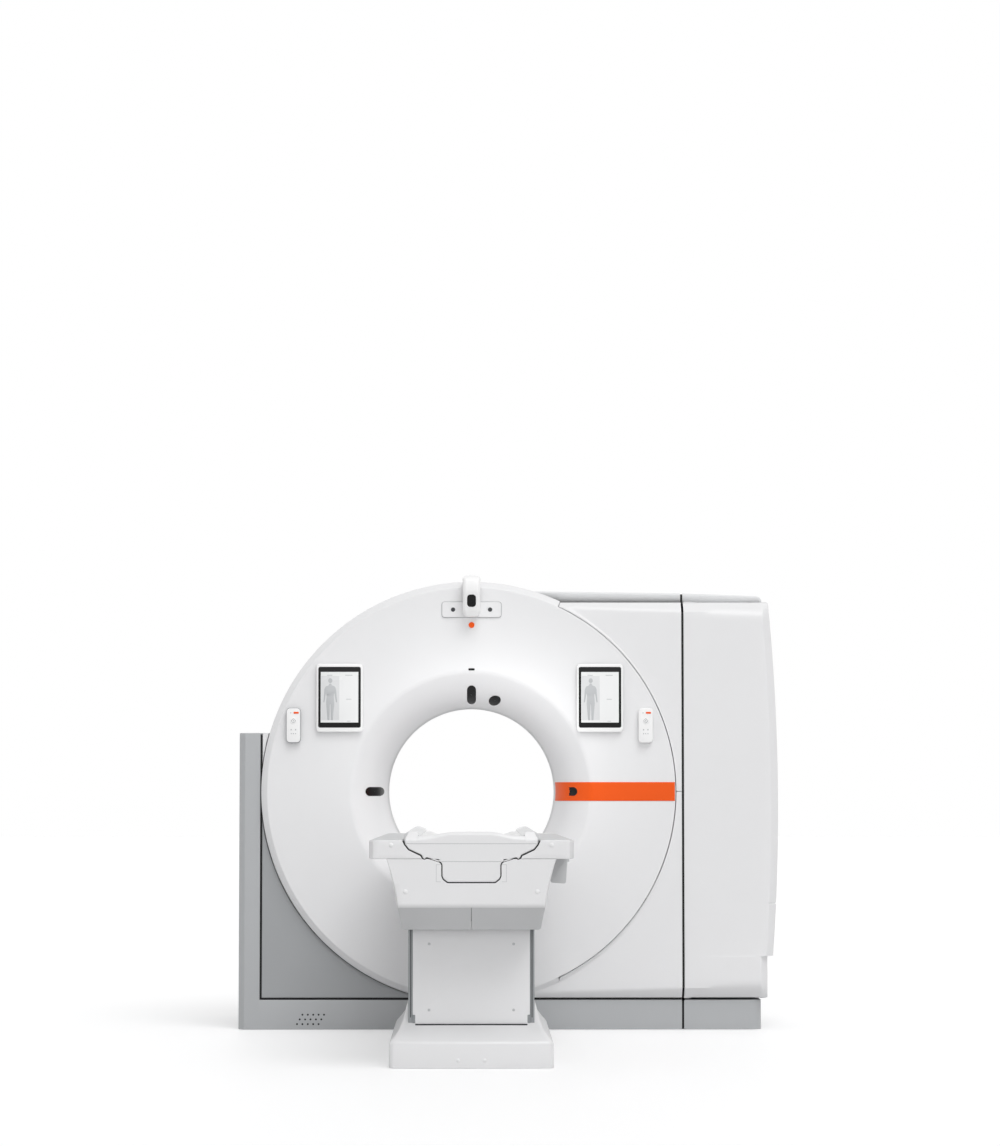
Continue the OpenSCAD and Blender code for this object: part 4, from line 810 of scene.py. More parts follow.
    def plinth(self) -> None:
        """Cabinet plinth with its round corner, and the grey frame cover of post and low front."""
        outline = fillet([(self.split_high, self.back_y), (self.split_high, self.panel_y),
                          (1188, self.panel_y), (1188, self.back_y)], (0, 0, 50, 0), True, 14)
        shape = Shape()
        shape.prism(outline, 0.0, 120.0, 4.0, along_z, 3, (False, True))
        shape.finish("cabinet_plinth_skin", Paint.GREY.material(), "gantry",
                     ("cabinet_plinth",), "cover_grey")
        post = fillet([(-866, self.back_y), (-953, self.back_y), (-953, -416), (-929, self.panel_y),
                       (-866, self.panel_y)], (0, 0, 8, 8, 0), True, 5)
        shape = Shape()
        shape.prism(post, 0.0, 1210.0, 4.0, along_z, 3, (False, True))
        low = fillet([(self.panel_y, 0), (self.panel_y, 120), (-382, 120), (-382, 0)], (0, 4, 0, 0), True, 4)
        shape.prism(low, -866.0, self.split_low, 0.0, along_x, 1, (False, False))
        deck = [(-868, -430), (-868, self.back_y), (-800, self.back_y), (-800, -430)]
        shape.prism(np.array(deck, float), 1203.0, 1210.0, 2.0, along_z, 2)
        shape.finish("frame_cover_skin", Paint.GREY.material(), "gantry", ("left_frame_cover",), "cover_grey")
        # black discs where the grille's holes are: painted shade inside the holes
        holes = Shape()
        for i in range(-2, 3):
            for j in (-1, 0, 1):
                at = (-657 + (i + j / 2) * 22.0, 40.8 + j * 19.1)
                holes.prism(circle(4.0, 20) + at, self.panel_y - 0.35, self.panel_y + 3.0, 0.2, along_y, 1)
        holes.finish("grille_hole_shade", Paint.SEAL.material(), "gantry", (), "seal_black")

    def left_panels(self) -> None:
        """Grey panel at the lower left, painted darker as shade, and white wedge at the upper left, both cut
        round beside the rim.
        """
        for name, low, high, paint, slot in (("left_lower_panel", self.low_z, 857.0, Paint.PANEL,
                                              "cover_grey"),
                                             ("left_upper_panel", 1083.0, 1209.0, Paint.COVER,
                                              "cover_white")):
            rows = Edge(90, (2.5, 0.5), (20.0, 6.0))
            cols = Edge(16, (2.5, 2.5), (7.5, 7.5))
            z = rows.across(low, high)[:, None]
            right = -np.sqrt(864.0**2 - (z - ISO) ** 2)
            room = np.minimum(1.0, (right + 857.0) / 6.0)
            x = -857.0 + (right + 857.0) * cols.place + cols.shift * room
            y = self.panel_y + np.maximum(rows.drop[:, None], cols.drop) + 0 * x
            shape = Shape()
            shape.grid(np.stack([x, y, z + 0 * x], -1), (0, -1, 0))
            shape.finish(name + "_skin", paint.material(), "gantry", (name,), slot, 0.0)

    def tops(self) -> None:
        """Top cover and cabinet lid: a front-to-back path whose height falls evenly to the right."""
        deep = 40.0
        foot = self.top_z - deep
        for name, x0, x1, h0, h1, r in (("top_cover", 218.0, self.split_low, 49.0, 40.0, 3.0),
                                        ("cabinet_lid", self.split_high, 1197.0, 40.0, 28.0, 22.0)):
            bend = fillet([(-400, foot), (-400, self.top_z), (self.back_y, self.top_z), (self.back_y, foot)],
                          (0, 7, 7, 0), False, 5)
            bend = refine(bend, 90.0)
            cols = Edge(14, (3.0, r), (12.0, 26.0 if r > 10 else 12.0), 8)
            x = cols.across(x0, x1)
            height = h0 + (h1 - h0) * (x - x0) / (x1 - x0)
            y = np.broadcast_to(bend[:, 0][:, None], (len(bend), len(x)))
            share = (bend[:, 1] - foot)[:, None] / deep
            z = self.top_z + share * (height - cols.drop)
            shape = Shape()
            shape.grid(np.stack([x + 0 * y, y, z], -1), (0, 0, 1))
            shape.finish(name + "_skin", Paint.TOP.material(), "gantry", (name,), "top_grey", 2.0)

    def drum(self) -> None:
        """Round skin behind the rim: an arc from the top cover to the post's deck, swept from front to
        back."""
        along = Edge(12, (3.0, 3.0), (6.0, 6.0))
        y = along.across(-443.0, self.back_y)[:, None]
        first = math.degrees(math.acos(217 / self.drum_r))
        last = 180 - math.degrees(math.asin(240.5 / self.drum_r))
        a = np.radians(np.linspace(first, last, 90))
        r = self.drum_r - along.drop[:, None]
        shape = Shape()
        shape.grid(np.stack([r * np.cos(a), y + 0 * a, ISO + r * np.sin(a)], -1), (0, 0, 1))
        shape.finish("drum_cover_skin", Paint.COVER.material(), "gantry", ("drum_cover",), "cover_white", 4.0)

    def reach(self, a: Array) -> Array:
        """Distance from the scan axis to the rear cover's outline at angle a: the farthest of drum, left and
        right box."""
        c, s = np.cos(a), np.sin(a)
        up = np.where(s > 0, 1.0, 0.0)
        left = np.minimum(953.0 / np.maximum(-c, 1e-6),
                          np.where(up > 0, 240.0, 970.0) / np.maximum(np.abs(s), 1e-6))
        left = np.where(c < 0, left, 0.0)
        r = np.full_like(a, 1259.0)
        for _ in range(30):
            z = ISO + r * s
            wide = np.where(z < 129.0, 1188.0, self.side(np.clip(z, 129.0, 1747.0)))
            r = np.minimum(wide / np.maximum(c, 1e-6),
                           np.where(up > 0, 777.0, 970.0) / np.maximum(np.abs(s), 1e-6))
        right = np.where(c > 1e-6, r, 0.0)
        return np.maximum(np.maximum(left, right), self.drum_r * up)

    def rear(self) -> None:
        """Rear cover: a funnel turned about the scan axis that runs out into a flat plate of the machine's
        outline."""
        corner = [math.atan2(z - ISO, x) for x,
                  z in ((-953, 1210), (-953, 0), (1188, 0), (1188, 129), (1212, 129), (1212, 299),
                        (1235, 301), (1221, 1747), (352, 1747), (-818, 1210))]
        a = np.unique(np.concatenate([np.radians(np.linspace(0, 360, 361)[:-1]),
                                      np.mod(corner, 2 * math.pi)]))
        arc_r, arc_x, end_r, throat = 562.0, 912.0, 446.0, 100.0
        t = np.linspace(0.0, math.acos((arc_x - end_r) / arc_r), 26)
        funnel = np.stack([arc_x - arc_r * np.cos(t), throat + arc_r * np.sin(t)], 1)
        crease = fillet([funnel[-2], (452.0, 420.0), (500.0, 420.0)], (0, 30, 0), False, 8)
        profile = np.concatenate([funnel[:-2], crease])
        r_out = self.reach(a)[:, None]
        r_in, y_in = profile[:, 0][None], profile[:, 1][None]
        edge = np.array([[-3.0, 0.0], [-1.1, 0.4], [-0.3, 1.2], [0.0, 3.0], [0.0, 8.0]])
        share = np.linspace(0.0, 1.0, 8)[1:-1][None]
        r = np.concatenate([np.broadcast_to(r_in, (len(a), r_in.shape[1])), 500 + (r_out - 503) * share,
                            r_out + edge[:, 0][None]], 1)
        y = np.concatenate([np.broadcast_to(y_in, (len(a), y_in.shape[1])), np.full((len(a), 6), 420.0),
                            np.broadcast_to(420.0 - edge[:, 1][None], (len(a), 5))], 1)
        shape = Shape()
        shape.grid(np.stack([r * np.cos(a)[:, None], y, ISO + r * np.sin(a)[:, None]], -1),
                   (0, 1, 0), (True, False))
        shape.finish("rear_cover_skin", Paint.COVER.material(), "gantry", ("rear_cover",), "cover_white", 6.0)
        # black insets where the air slots are: painted shade inside the slots
        slots = Shape()
        count, span, first = 12, 260, 0.72 * 1221
        for i in range(count):
            x = first + span * (i + 0.5) / count
            slots.prism(rounded_box(9, 260, 4.4, 5) + (x, 0.5 * ISO), 416.0, 420.4, 0.3, along_y, 1)
        slots.finish("rear_slot_shade", Paint.SEAL.material(), "gantry", (), "seal_black")

    def build(self) -> None:
        """Makes every cover."""
        self.right_panels()
        self.cabinet()
        self.plinth()
        self.left_panels()
        self.tops()
        self.drum()
        self.rear()


# Fittings on the front


@dataclass
class Fittings:
    """Camera, status light, tablets and remote controls on the round cover.

    Args:
        face_y: y of the cover's flat face.
        holder: depth of the holders behind the devices.
        tablet, remote: width, height and depth of each device.
        tablet_at, remote_at: x of the left and the right one, and their height over the scan axis.
    """

    face_y: float = -480.0
    holder: float = 6.0
    tablet: tuple[float, float, float] = (190.0, 280.0, 16.0)
    remote: tuple[float, float, float] = (60.0, 143.0, 18.0)
    tablet_at: tuple[float, float, float] = (-540.0, 526.0, 382.0)
    remote_at: tuple[float, float, float] = (-728.0, 713.0, 270.0)

    def camera(self) -> None:
        """Bracket with two open holes darkened by painted shade, domed housing and its inset lens window."""
        z = ISO + 745.0
        shape = Shape()
        plate = rounded_box(242, 62, 10, 8) + (0, z)
        rings = [(0.0, self.face_y), (0.0, self.face_y - 5.5), (0.5, self.face_y - 6.6),
                 (1.5, self.face_y - 7.0)]
        outer = np.array([along_y(inset(plate, a), y) for a, y in rings])
        shape.loft(outer, (True, False))
        self.plate_front(shape, z)
        shape.finish("camera_bracket_plate", Paint.COVER.material(), "gantry",
                     ("camera_bracket",), "cover_white")
        # dark discs inside the bracket's two holes: painted shade
        shape = Shape()
        for s in (-1, 1):
            shape.prism(circle(8.6, 32) + (s * 76.0, z), self.face_y - 6.9, self.face_y - 0.5,
                        0.2, along_y, 1)
        shape.finish("bracket_hole_shade", Paint.DARK.material(), "gantry", (), "inner_dark")
        line = Shape()
        edge = rounded_box(242, 62, 10, 8) + (0, z)
        line.loft(np.array([along_y(inset(edge, -a), self.face_y + y) for a,
                            y in ((0.0, 0.5), (2.0, 0.5), (2.0, -0.9), (1.6, -1.2), (-0.2, -1.2))]),
                  (False, False))
        line.finish("bracket_shadow_gap", Paint.LINE.material(), "gantry", (), "seal_black")
        self.housing(ISO + 714.0)

    def plate_front(self, shape: Shape, z: float) -> None:
        """Front of the bracket: quads from each hole's ring out to its half of the rounded plate, found by
        halving."""
        y = self.face_y - 7.0
        angle = np.radians(np.linspace(0, 360, 73)[:-1])
        ray = np.stack([np.cos(angle), np.sin(angle)], 1)
        for s in (-1, 1):
            low, high = np.full(len(ray), 9.6), np.full(len(ray), 260.0)
            for _ in range(24):
                mid = 0.5 * (low + high)
                at = ray * mid[:, None] + (s * 76.0, 0.0)
                q = np.abs(at) - (111.0, 21.0)
                far = np.linalg.norm(np.maximum(q, 0.0), axis=1) + np.minimum(q.max(1), 0.0)
                out = (far > 8.5) | (s * at[:, 0] < 0.0)
                low, high = np.where(out, low, mid), np.where(out, mid, high)
            near = np.full(len(ray), 9.0)
            loops = np.array([np.stack([s * 76.0 + ray[:, 0] * r, 0 * r + yy, z + ray[:, 1] * r], 1)
                              for r, yy in ((near, y + 6.0), (near, y + 0.6), (near + 0.6, y), (low, y))])
            shape.grid(loops, (0, -1, 0), (False, True))

    def housing(self, foot: float, tall: float = 171.0) -> None:
        """Camera housing: plan sections stacked upwards. Its half width is 36.5 mm with an elliptical foot of
        24 mm and an elliptical head of 19 mm; its depth leans in below the lens and back above it."""
        back = self.face_y - 7.0
        low = 24.0 * (1.0 - np.cos(np.linspace(0.06, math.pi / 2, 9)))
        high = tall - 19.0 * (1.0 - np.sin(np.linspace(0.0, math.pi / 2 - 0.06, 9)))
        height = np.concatenate([low, np.linspace(24.0, tall - 19.0, 16)[1:-1], high])
        t = height / tall
        deep = np.interp(t, [0.0, 0.04, 0.14, 0.45, 0.60, 0.75, 0.89, 0.96, 1.0],
                         [48.0, 62.0, 72.0, 84.0, 89.5, 88.0, 80.0, 68.0, 46.0])
        foot_part = np.sqrt(np.clip(1.0 - np.clip(1.0 - height / 24.0, 0, 1) ** 2, 0.0, 1.0))
        head_part = np.sqrt(np.clip(1.0 - np.clip(1.0 - (tall - height) / 19.0, 0, 1) ** 2, 0.0, 1.0))
        half = 36.5 * (0.45 + 0.55 * foot_part) * head_part
        loops = []
        for h, d, w in zip(height, deep, half):
            r = min(15.0, w * 0.8)
            q = fillet([(-w, 0.0), (-w, -d), (w, -d), (w, 0.0)], (0.5, r, r, 0.5), True, 7)
            loops.append(np.stack([q[:, 0], back + q[:, 1], np.full(len(q), foot + h)], 1))
        shape = Shape()
        shape.loft(np.array(loops))
        shape.finish("camera_hood", Paint.DEVICE.material(), "gantry", ("camera_housing",), "cover_white")
        glass = Shape()
        window = rounded_box(36, 50, 13, 8)
        loops = []
        for amount, off in ((0.0, 8.0), (0.0, -0.6), (0.6, -1.4), (8.0, -1.5)):
            q = inset(window, amount)
            z = foot + 63.0 + q[:, 1]
            y = back - np.interp(z - foot, tall * np.array([0.14, 0.45, 0.60]), [72.0, 84.0, 89.5]) + off
            loops.append(np.stack([q[:, 0], y, z], 1))
        glass.loft(np.array(loops))
        glass.finish("camera_window", Paint.WINDOW.material(), "gantry", ("camera_lens",), "dark_window")

    def light(self) -> None:
        """Small round status light with a domed lens."""
        shape = Shape()
        rings = [(12.0, 0.3), (12.0, -2.4), (11.5, -3.2), (10.5, -3.7), (6.0, -4.0), (0.4, -4.05)]
        loops = np.array([along_y(circle(r, 40) + (0, ISO + 682.0), self.face_y + y) for r, y in rings])
        shape.loft(loops)
        shape.finish("status_light_lens", Paint.LIGHT.material(), "gantry", ("status_light",),
                     "accent_orange")

    def slab(self, shape: Shape, outline: Array, front: float, back: float, edge: float) -> None:
        """Rounded slab between two distances in front of the cover's face."""
        shape.prism(outline, self.face_y - front, self.face_y - back, edge, along_y, 4)

    def tablets(self) -> None:
        """Two tablets: white shell, dark bezel, light screen with bars and a plain sign of a body."""
        w, h, t = self.tablet
        holders = Shape()
        for side, x in zip(("left", "right"), self.tablet_at):
            z = ISO + self.tablet_at[2]
            shell, bezel, screen, bar, shade = Shape(), Shape(), Shape(), Shape(), Shape()
            front = self.holder + t
            self.slab(shell, rounded_box(w, h, 14, 8) + (x, z), front - 0.4, self.holder, 4.5)
            mid = z + 3.0
            self.slab(bezel, rounded_box(w - 16, h - 31, 8, 6) + (x, mid), front, front - 3.0, 0.6)
            self.slab(bar, rounded_box(w - 36, h - 73, 1.5, 3) + (x, mid), front + 0.2, front - 1.0, 0.1)
            self.slab(screen, rounded_box(74, h - 99, 1.2, 2) + (x - 38.0, mid - 3.0), front + 0.3,
                      front - 1.0, 0.1)
            self.figure(shade, x - 38.0, mid - 6.0, front + 0.4)
            for dx, dz, long in ((-40.0, 90.0, 22.0), (38.0, 90.0, 30.0), (38.0, -8.0, 22.0),
                                 (38.0, -98.0, 16.0)):
                self.slab(shade, rounded_box(long, 2.4, 1.0, 2) + (x + dx, mid + dz), front + 0.4,
                          front - 1.0, 0.1)
            shell.finish(f"tablet_{side}_shell", Paint.DEVICE.material(), "gantry",
                         (f"tablet_{side}",), "device_white")
            bezel.finish(f"tablet_{side}_bezel", Paint.BEZEL.material(), "gantry",
                         (f"tablet_{side}_glass",), "screen")
            screen.finish(f"tablet_{side}_screen", Paint.SCREEN.material(), "gantry", (), "screen")
            bar.finish(f"tablet_{side}_fields", Paint.SCREEN_BAR.material(), "gantry", (), "screen")
            shade.finish(f"tablet_{side}_figure", Paint.SCREEN_SHADE.material(), "gantry", (), "screen")
            self.slab(holders, rounded_box(w - 50, h - 60, 12, 5) + (x, z), self.holder, 0.0, 1.5)
        for x in self.remote_at[:2]:
            at = (x, ISO + self.remote_at[2])
            self.slab(holders, rounded_box(46, 123, 10, 5) + at, self.holder, 0.0, 1.5)
        holders.finish("device_holders", Paint.COVER.material(), "gantry", ("wall_holders",), "cover_white")

    def figure(self, shape: Shape, x: float, z: float, front: float) -> None:
        """Plain sign of a standing body: a round head, then one smooth outline mirrored about its middle."""
        self.slab(shape, circle(8.5, 28) * (1.0, 1.15) + (x, z + 74.0), front, front - 1.2, 0.1)
        side = [(0, 62), (4, 62), (6, 55), (19, 50), (24, 38), (26, 8), (28, -14), (24, -16), (20, 8),
                (16, 28), (15, 8), (17, -20), (13, -60), (11, -88), (3, -88), (2, -60), (1, -24), (0, -22)]
        half = fillet(side, [0, 2, 3, 9, 6, 4, 2, 2, 4, 1, 4, 6, 4, 2, 2, 4, 1, 0], False, 4)
        whole = np.concatenate([half, half[-2:0:-1] * (-1, 1)])
        self.slab(shape, whole + (x, z), front, front - 1.2, 0.05)

    def remotes(self) -> None:
        """Two remote controls with a sprung ring pad, an orange sprung key and small printed dots."""
        w, h, t = self.remote
        for side, x in zip(("left", "right"), self.remote_at):
            z = ISO + self.remote_at[2]
            front = self.holder + t
            rim, plate, dots = Shape(), Shape(), Shape()
            self.slab(rim, rounded_box(w, h, 16, 8) + (x, z), front - 2.0, self.holder, 4.0)
            self.slab(plate, rounded_box(w - 4, h - 4, 14, 8) + (x, z), front, front - 4.0, 1.6)
            for dx, dz, r in ((-9, -18, 3.0), (9, -18, 3.0), (-9, -34, 2.4), (0, -34, 2.4), (9, -34, 2.4),
                              (-11, 51, 2.4)):
                self.slab(dots, circle(r, 18) + (x + dx, z + dz), front + 0.25, front - 1.0, 0.1)
            rim.finish(f"remote_{side}_rim",
                       Paint.EDGE.material() if side == "left" else Paint.DEVICE.material(), "gantry",
                       (f"remote_{side}",), "device_white")
            plate.finish(f"remote_{side}_face", Paint.DEVICE.material(), "gantry", (), "device_white")
            dots.finish(f"remote_{side}_dots", Paint.SCREW.material(), "gantry", (), "pad_grey")
            pad = Shape()
            self.ring_pad(pad, x, z + 0.13 * h, front)
            pad.finish(f"remote_{side}_ring", Paint.DEVICE.material(), f"{side}_pad",
                       (f"remote_{side}_pad",), "pad_grey")
            arrows = Shape()
            square = fillet([(0, -10.4), (10.4, 0), (0, 10.4), (-10.4, 0)], 1.5, True, 4) + (x, z + 0.13 * h)
            arrows.loft(np.array([along_y(inset(square, a), self.face_y - front - up) for a, up in
                                  ((0.0, 1.6), (0.0, 2.0), (1.5, 2.0), (1.5, 1.6))]), (False, False))
            self.slab(arrows, circle(2.2, 20) + (x, z + 0.13 * h), front + 2.1, front + 1.5, 0.1)
            arrows.finish(f"remote_{side}_arrows", Paint.EDGE.material(), f"{side}_pad", (), "pad_grey")
            key = Shape()
            self.slab(key, rounded_box(21, 7.5, 2, 4) + (x + 11.0, z + 0.36 * h), front + 1.6,
                      front - 5.0, 0.7)
            key.finish(f"remote_{side}_mark", Paint.ORANGE.material(), f"{side}_key", (f"remote_{side}_key",),
                       "accent_orange")

    def ring_pad(self, shape: Shape, x: float, z: float, front: float) -> None:
        """Round pad with a rolled edge: rings of falling radius at their own heights, all over a millimetre
        proud."""
        rings = [(13.0, -2.4), (13.0, 1.1), (12.5, 1.5), (11.6, 1.7), (0.3, 1.75)]
        shape.loft(np.array([along_y(circle(r, 44) + (x, z), self.face_y - front - up) for r, up in rings]))

    def build(self) -> None:
        """Makes every fitting."""
        self.camera()
        self.light()
        self.tablets()
        self.remotes()


# Patient table


@dataclass
class PatientTable:
    """Moving table body, pedestal stage, base cover and the padded top.

    Args:
        foot_y, end_y: where the body starts and ends.
        deck: height of the deck line that the top's section is drawn from.
        wing_half: half width over both wings at the foot end.
        dish_r, dish_centre: radius of the cradle's dish and the height of its centre over the deck line.
        pad_under_r: radius of the pad's underside about the same centre.
        pad_top_r, pad_top_centre: radius of the pad's hollow top and the height of its centre.
        mouth: y just before and behind each end of the opening that the pedestal passes.
    """

    foot_y: float = -2627.0
    end_y: float = -640.0
    deck: float = 788.0
    body_z: float = 567.0
    wing_z: float = 736.0
    top_gap: float = 4.6
    wing_half: float = 358.0
    dish_r: float = 305.0
    dish_centre: float = 274.0
    pad_under_r: float = 304.4
    pad_top_r: float = 390.0
    pad_top_centre: float = 375.4
    mouth: tuple[float, ...] = (-2345.0, -2344.9, -1440.1, -1440.0)

    def unit_path(self, grow: float = 0.0) -> Array:
        """Lower outline of the moving top from left to right.

        Args:
            grow: how far the outline is moved outwards along its normals.

        Returns:
            The path as (n, 2) pairs of x and height over the deck line.
        """
        half = np.array([(82, -131), (96, -120), (100, -111), (100, -73), (103, -65), (109, -60), (156, -45),
                         (163, -51), (168, -47), (173, -37), (216, -17), (229, -1), (235, 12)], float)
        turns = [9, 9, 3, 2, 2, 3, 5, 3, 3, 3, 8, 6, 0]
        whole = fillet(np.concatenate([half[::-1] * (-1, 1), half]), turns[::-1] + turns, False, 5)
        ahead = np.gradient(whole, axis=0)
        ahead /= np.linalg.norm(ahead, axis=1, keepdims=True)
        return whole + grow * np.stack([ahead[:, 1], -ahead[:, 0]], 1)

    def unit_low(self, grow: float = 0.0) -> tuple[Array, Array]:
        """Right half of that outline as stations x, from the middle outwards, and the height at each."""
        path = self.unit_path(grow)
        right = path[path[:, 0] > 0.0]
        x = np.maximum.accumulate(right[:, 0] + np.arange(len(right)) * 1e-3)
        return np.concatenate([[0.0], x]), np.concatenate([[right[0, 1]], right[:, 1]])

    def trough_gap_shade(self) -> None:
        """Black ribbon of painted shade in the gap round the trough's mouth: between the outline grown by 1
        mm and by 5.4 mm."""
        shape = Shape()
        inner, outer = self.unit_path(1.0), self.unit_path(5.4)
        share = np.linspace(0.0, 1.0, 4)[:, None, None]
        ribbon = inner[None] * (1 - share) + outer[None] * share
        drop = np.array([0.5, -0.12, -0.12, 0.5])[:, None]
        y = self.foot_y + drop + 0 * ribbon[..., 0]
        shape.grid(np.stack([ribbon[..., 0], y, self.deck + ribbon[..., 1]], -1), (0, -1, 0))
        for edge, way in ((inner, (0, 0, 1)), (outer, (0, 0, -1))):
            depth = self.foot_y + np.array([0.5, 9.0])[:, None] + 0 * edge[:, 0]
            shape.grid(np.stack([edge[:, 0] + 0 * depth, depth, self.deck + edge[:, 1] + 0 * depth], -1), way)
        shape.finish("trough_gap_shade", Paint.SEAL.material(), "lift", (), "seal_black", 0.0, 1.0)

    def dome(self, shape: Shape, x: float, z: float, y: float, r: float = 8.0, up: float = 3.0) -> None:
        """Domed cap on a front face: circles of radius r cos(a) at up sin(a) before it."""
        a = np.linspace(0.0, 1.5, 7)
        rings = [(r, 0.5), *zip(r * np.cos(a), -up * np.sin(a))]
        shape.loft(np.array([along_y(circle(q, 28) + (x, z), y + d) for q, d in rings]))

    def caps(self) -> None:
        """Domed white caps over the screws of wings and body, and fine grey lines of painted shade round the
        recess beside the trough."""
        shape = Shape()
        for s in (-1, 1):
            self.dome(shape, s * 279.0, 784.0, self.foot_y)
            self.dome(shape, s * 229.0, 623.0, self.foot_y)
        shape.finish("table_screw_caps", Paint.CAP.material(), "lift", (), "cover_white")
        # lines of painted shade round the recess beside the trough
        lines = Shape()
        for s in (-1, 1):
            for w, h, x, z in ((1.6, 60.0, 122.0, 687.0), (17.0, 1.6, 114.0, 716.6),
                               (17.0, 1.6, 114.0, 657.4)):
                lines.prism(rounded_box(w, h, 0.7, 2) + (s * x, z), self.foot_y - 0.15, self.foot_y + 1.5,
                            0.1, along_y, 1)
        lines.finish("recess_edge_shade", Paint.RECESS.material(), "lift", (), "cover_white")

    def wings(self) -> None:
        """Side wings between trough and outer edge, narrowed towards the gantry, with round plan corners."""
        tx, tz = self.unit_low(self.top_gap)
        keep = tz > -51.0
        start = float(np.interp(-51.0, tz[(tx > 105) & (tx < 155)], tx[(tx > 105) & (tx < 155)]))
        keep &= tx > start
        tx, tz = tx[keep], np.maximum(tz[keep], -50.5)
        rim = fillet([(tx[-1], 8.0), (tx[-1] + 0.5, 14.0), (self.wing_half, 14.0),
                      (self.wing_half + 0.4, -20.0)], (0, 4, 8, 0), False, 6)[1:-1]
        x = np.concatenate([[start], tx, rim[:, 0], [self.wing_half]])
        high = np.concatenate([[-51.0], tz, rim[:, 1], [rim[-1, 1]]])
        order = np.argsort(x, kind="stable")
        x, high = np.minimum(x[order], self.wing_half), high[order]
        corner = self.wing_half - 5 * (1 - np.sin(np.linspace(0, 1.57, 5)))
        fine = np.unique(np.concatenate([x, np.linspace(255, 345, 8), corner]))
        high = np.interp(fine, x, high)
        low = -52.0 + 5.0 * (1 - np.sqrt(1 - np.clip((fine - 353.0) / 5.0, 0.0, 1.0) ** 2))
        high = np.where(fine > 350.0,
                        14.0 - 8.0 * (1 - np.sqrt(1 - np.clip((fine - 350.0) / 8.0, 0.0, 1.0) ** 2)), high)
        shape = Shape()
        for s in (-1, 1):
            shape.between(fine, self.deck + low, self.deck + high, self.foot_y, self.end_y, (3.0, 3.0),
                          lambda p, s=s: self.wing_plan(p, s), 30)
        piece = shape.finish("table_wing_covers", Paint.TABLE.material(), "lift",
                             ("table_wings",), "cover_white")
        self.paint_tops(piece.data)

    def paint_tops(self, mesh: bpy.types.Mesh) -> None:
        """Gives the faces that look up and lie above the deck line the grey of the arm rests."""
        mesh.materials.append(Paint.WING_TOP.material())
        count = len(mesh.polygons)
        normal, centre = np.empty(3 * count), np.empty(3 * count)
        mesh.polygons.foreach_get("normal", normal)
        mesh.polygons.foreach_get("center", centre)
        upward = (normal.reshape(-1, 3)[:, 2] > 0.8) & (centre.reshape(-1, 3)[:, 2] > (self.deck + 12.5) * MM)
        mesh.polygons.foreach_set("material_index", upward.astype(np.int32))

    def wing_plan(self, p: Array, side: int) -> Array:
        """Plan of a wing: 18 mm narrower at the gantry end, with elliptical corners of 30 and 34 mm."""
        long, fixed = self.end_y - self.foot_y, 245.0
        dist = p[..., 1] - self.foot_y
        foot = 30 * (1 - np.sqrt(np.clip(1 - (1 - np.clip(dist / 30, 0, 1)) ** 2, 0, 1)))
        head = 34 * (1 - np.sqrt(np.clip(1 - (1 - np.clip((long - dist) / 34, 0, 1)) ** 2, 0, 1)))
        outer = self.wing_half - 18.0 * dist / long - foot - head
        share = np.clip((p[..., 0] - fixed) / (self.wing_half - fixed), 0.0, 1.0)
        x = np.where(p[..., 0] > fixed, fixed + share * (outer - fixed), p[..., 0])
        return np.stack([side * x, p[..., 1], p[..., 2]], -1)

    def side_half(self, z: Array) -> Array:
        """Half width of the body at height z: 296 mm under the wings, curving in to 258 mm above the
        skirt."""
        t = np.clip((np.asarray(z, float) - self.body_z) / (self.wing_z - self.body_z), 0.0, 1.0)
        return 258.0 + 38.0 * (0.72 * t + 0.28 * t**3)

    def face_half(self, z: Array) -> Array:
        """Half width of the body's foot face: 293 mm at the top, curving in to 252 mm."""
        t = np.clip((np.asarray(z, float) - self.body_z) / (self.wing_z - self.body_z), 0.0, 1.0)
        return 252.0 + 41.5 * t**1.45

    def body(self) -> None:
        """Body below the wings: rows of constant height from the foot corner to the end that rises to the
        gantry."""
        z = np.concatenate([np.linspace(self.wing_z, 585.0, 20),
                            [581, 577, 573.5, 570.5, 568.5, 567.4, 567.0]])[:, None]
        low_y = self.foot_y + 14.0 * (1 - np.sqrt(np.clip(1 - np.clip((581.0 - z) / 14.0, 0, 1) ** 2, 0, 1)))
        end = np.interp(z[:, 0], [567.0, 575.0, 631.0, 675.0, 736.0],
                        [-1120.0, -1045.0, -662.0, -641.0, -640.0])[:, None]
        corner = np.concatenate([[0.0, 0.6, 2.0, 4.5, 8.0, 13.0, 20.0, 30.0]])[None]
        rest = np.linspace(0.0, 1.0, 24)[None][:, 1:]
        y = np.concatenate([low_y + corner, low_y + 30.0 + (end - low_y - 30.0) * rest], 1)
        turn = 1 - np.sqrt(np.clip(1 - (1 - np.clip((y - low_y) / 30.0, 0, 1)) ** 2, 0, 1))
        half = self.side_half(z) - (self.side_half(z) - self.face_half(z)) * turn
        shape = Shape()
        for s in (-1, 1):
            shape.grid(np.stack([s * half, y, z + 0 * y], -1), (s, 0, 0))
        v = np.linspace(-1.0, 1.0, 15)[None]
        shape.grid(np.stack([half[:, -1:] * v, end + 0 * v, z + 0 * v], -1), (0, 1, -1))
        y = np.concatenate([np.linspace(low_y[-1, 0], end[-1, 0], 12), self.mouth])
        self.floor(shape, np.sort(y), np.full(len(y), 258.0), 567.0, -1)
        self.foot_face(shape, z[:, 0], low_y[:, 0])
        shape.finish("table_body_shell", Paint.TABLE.material(), "lift", ("table_body_cover",), "cover_white")

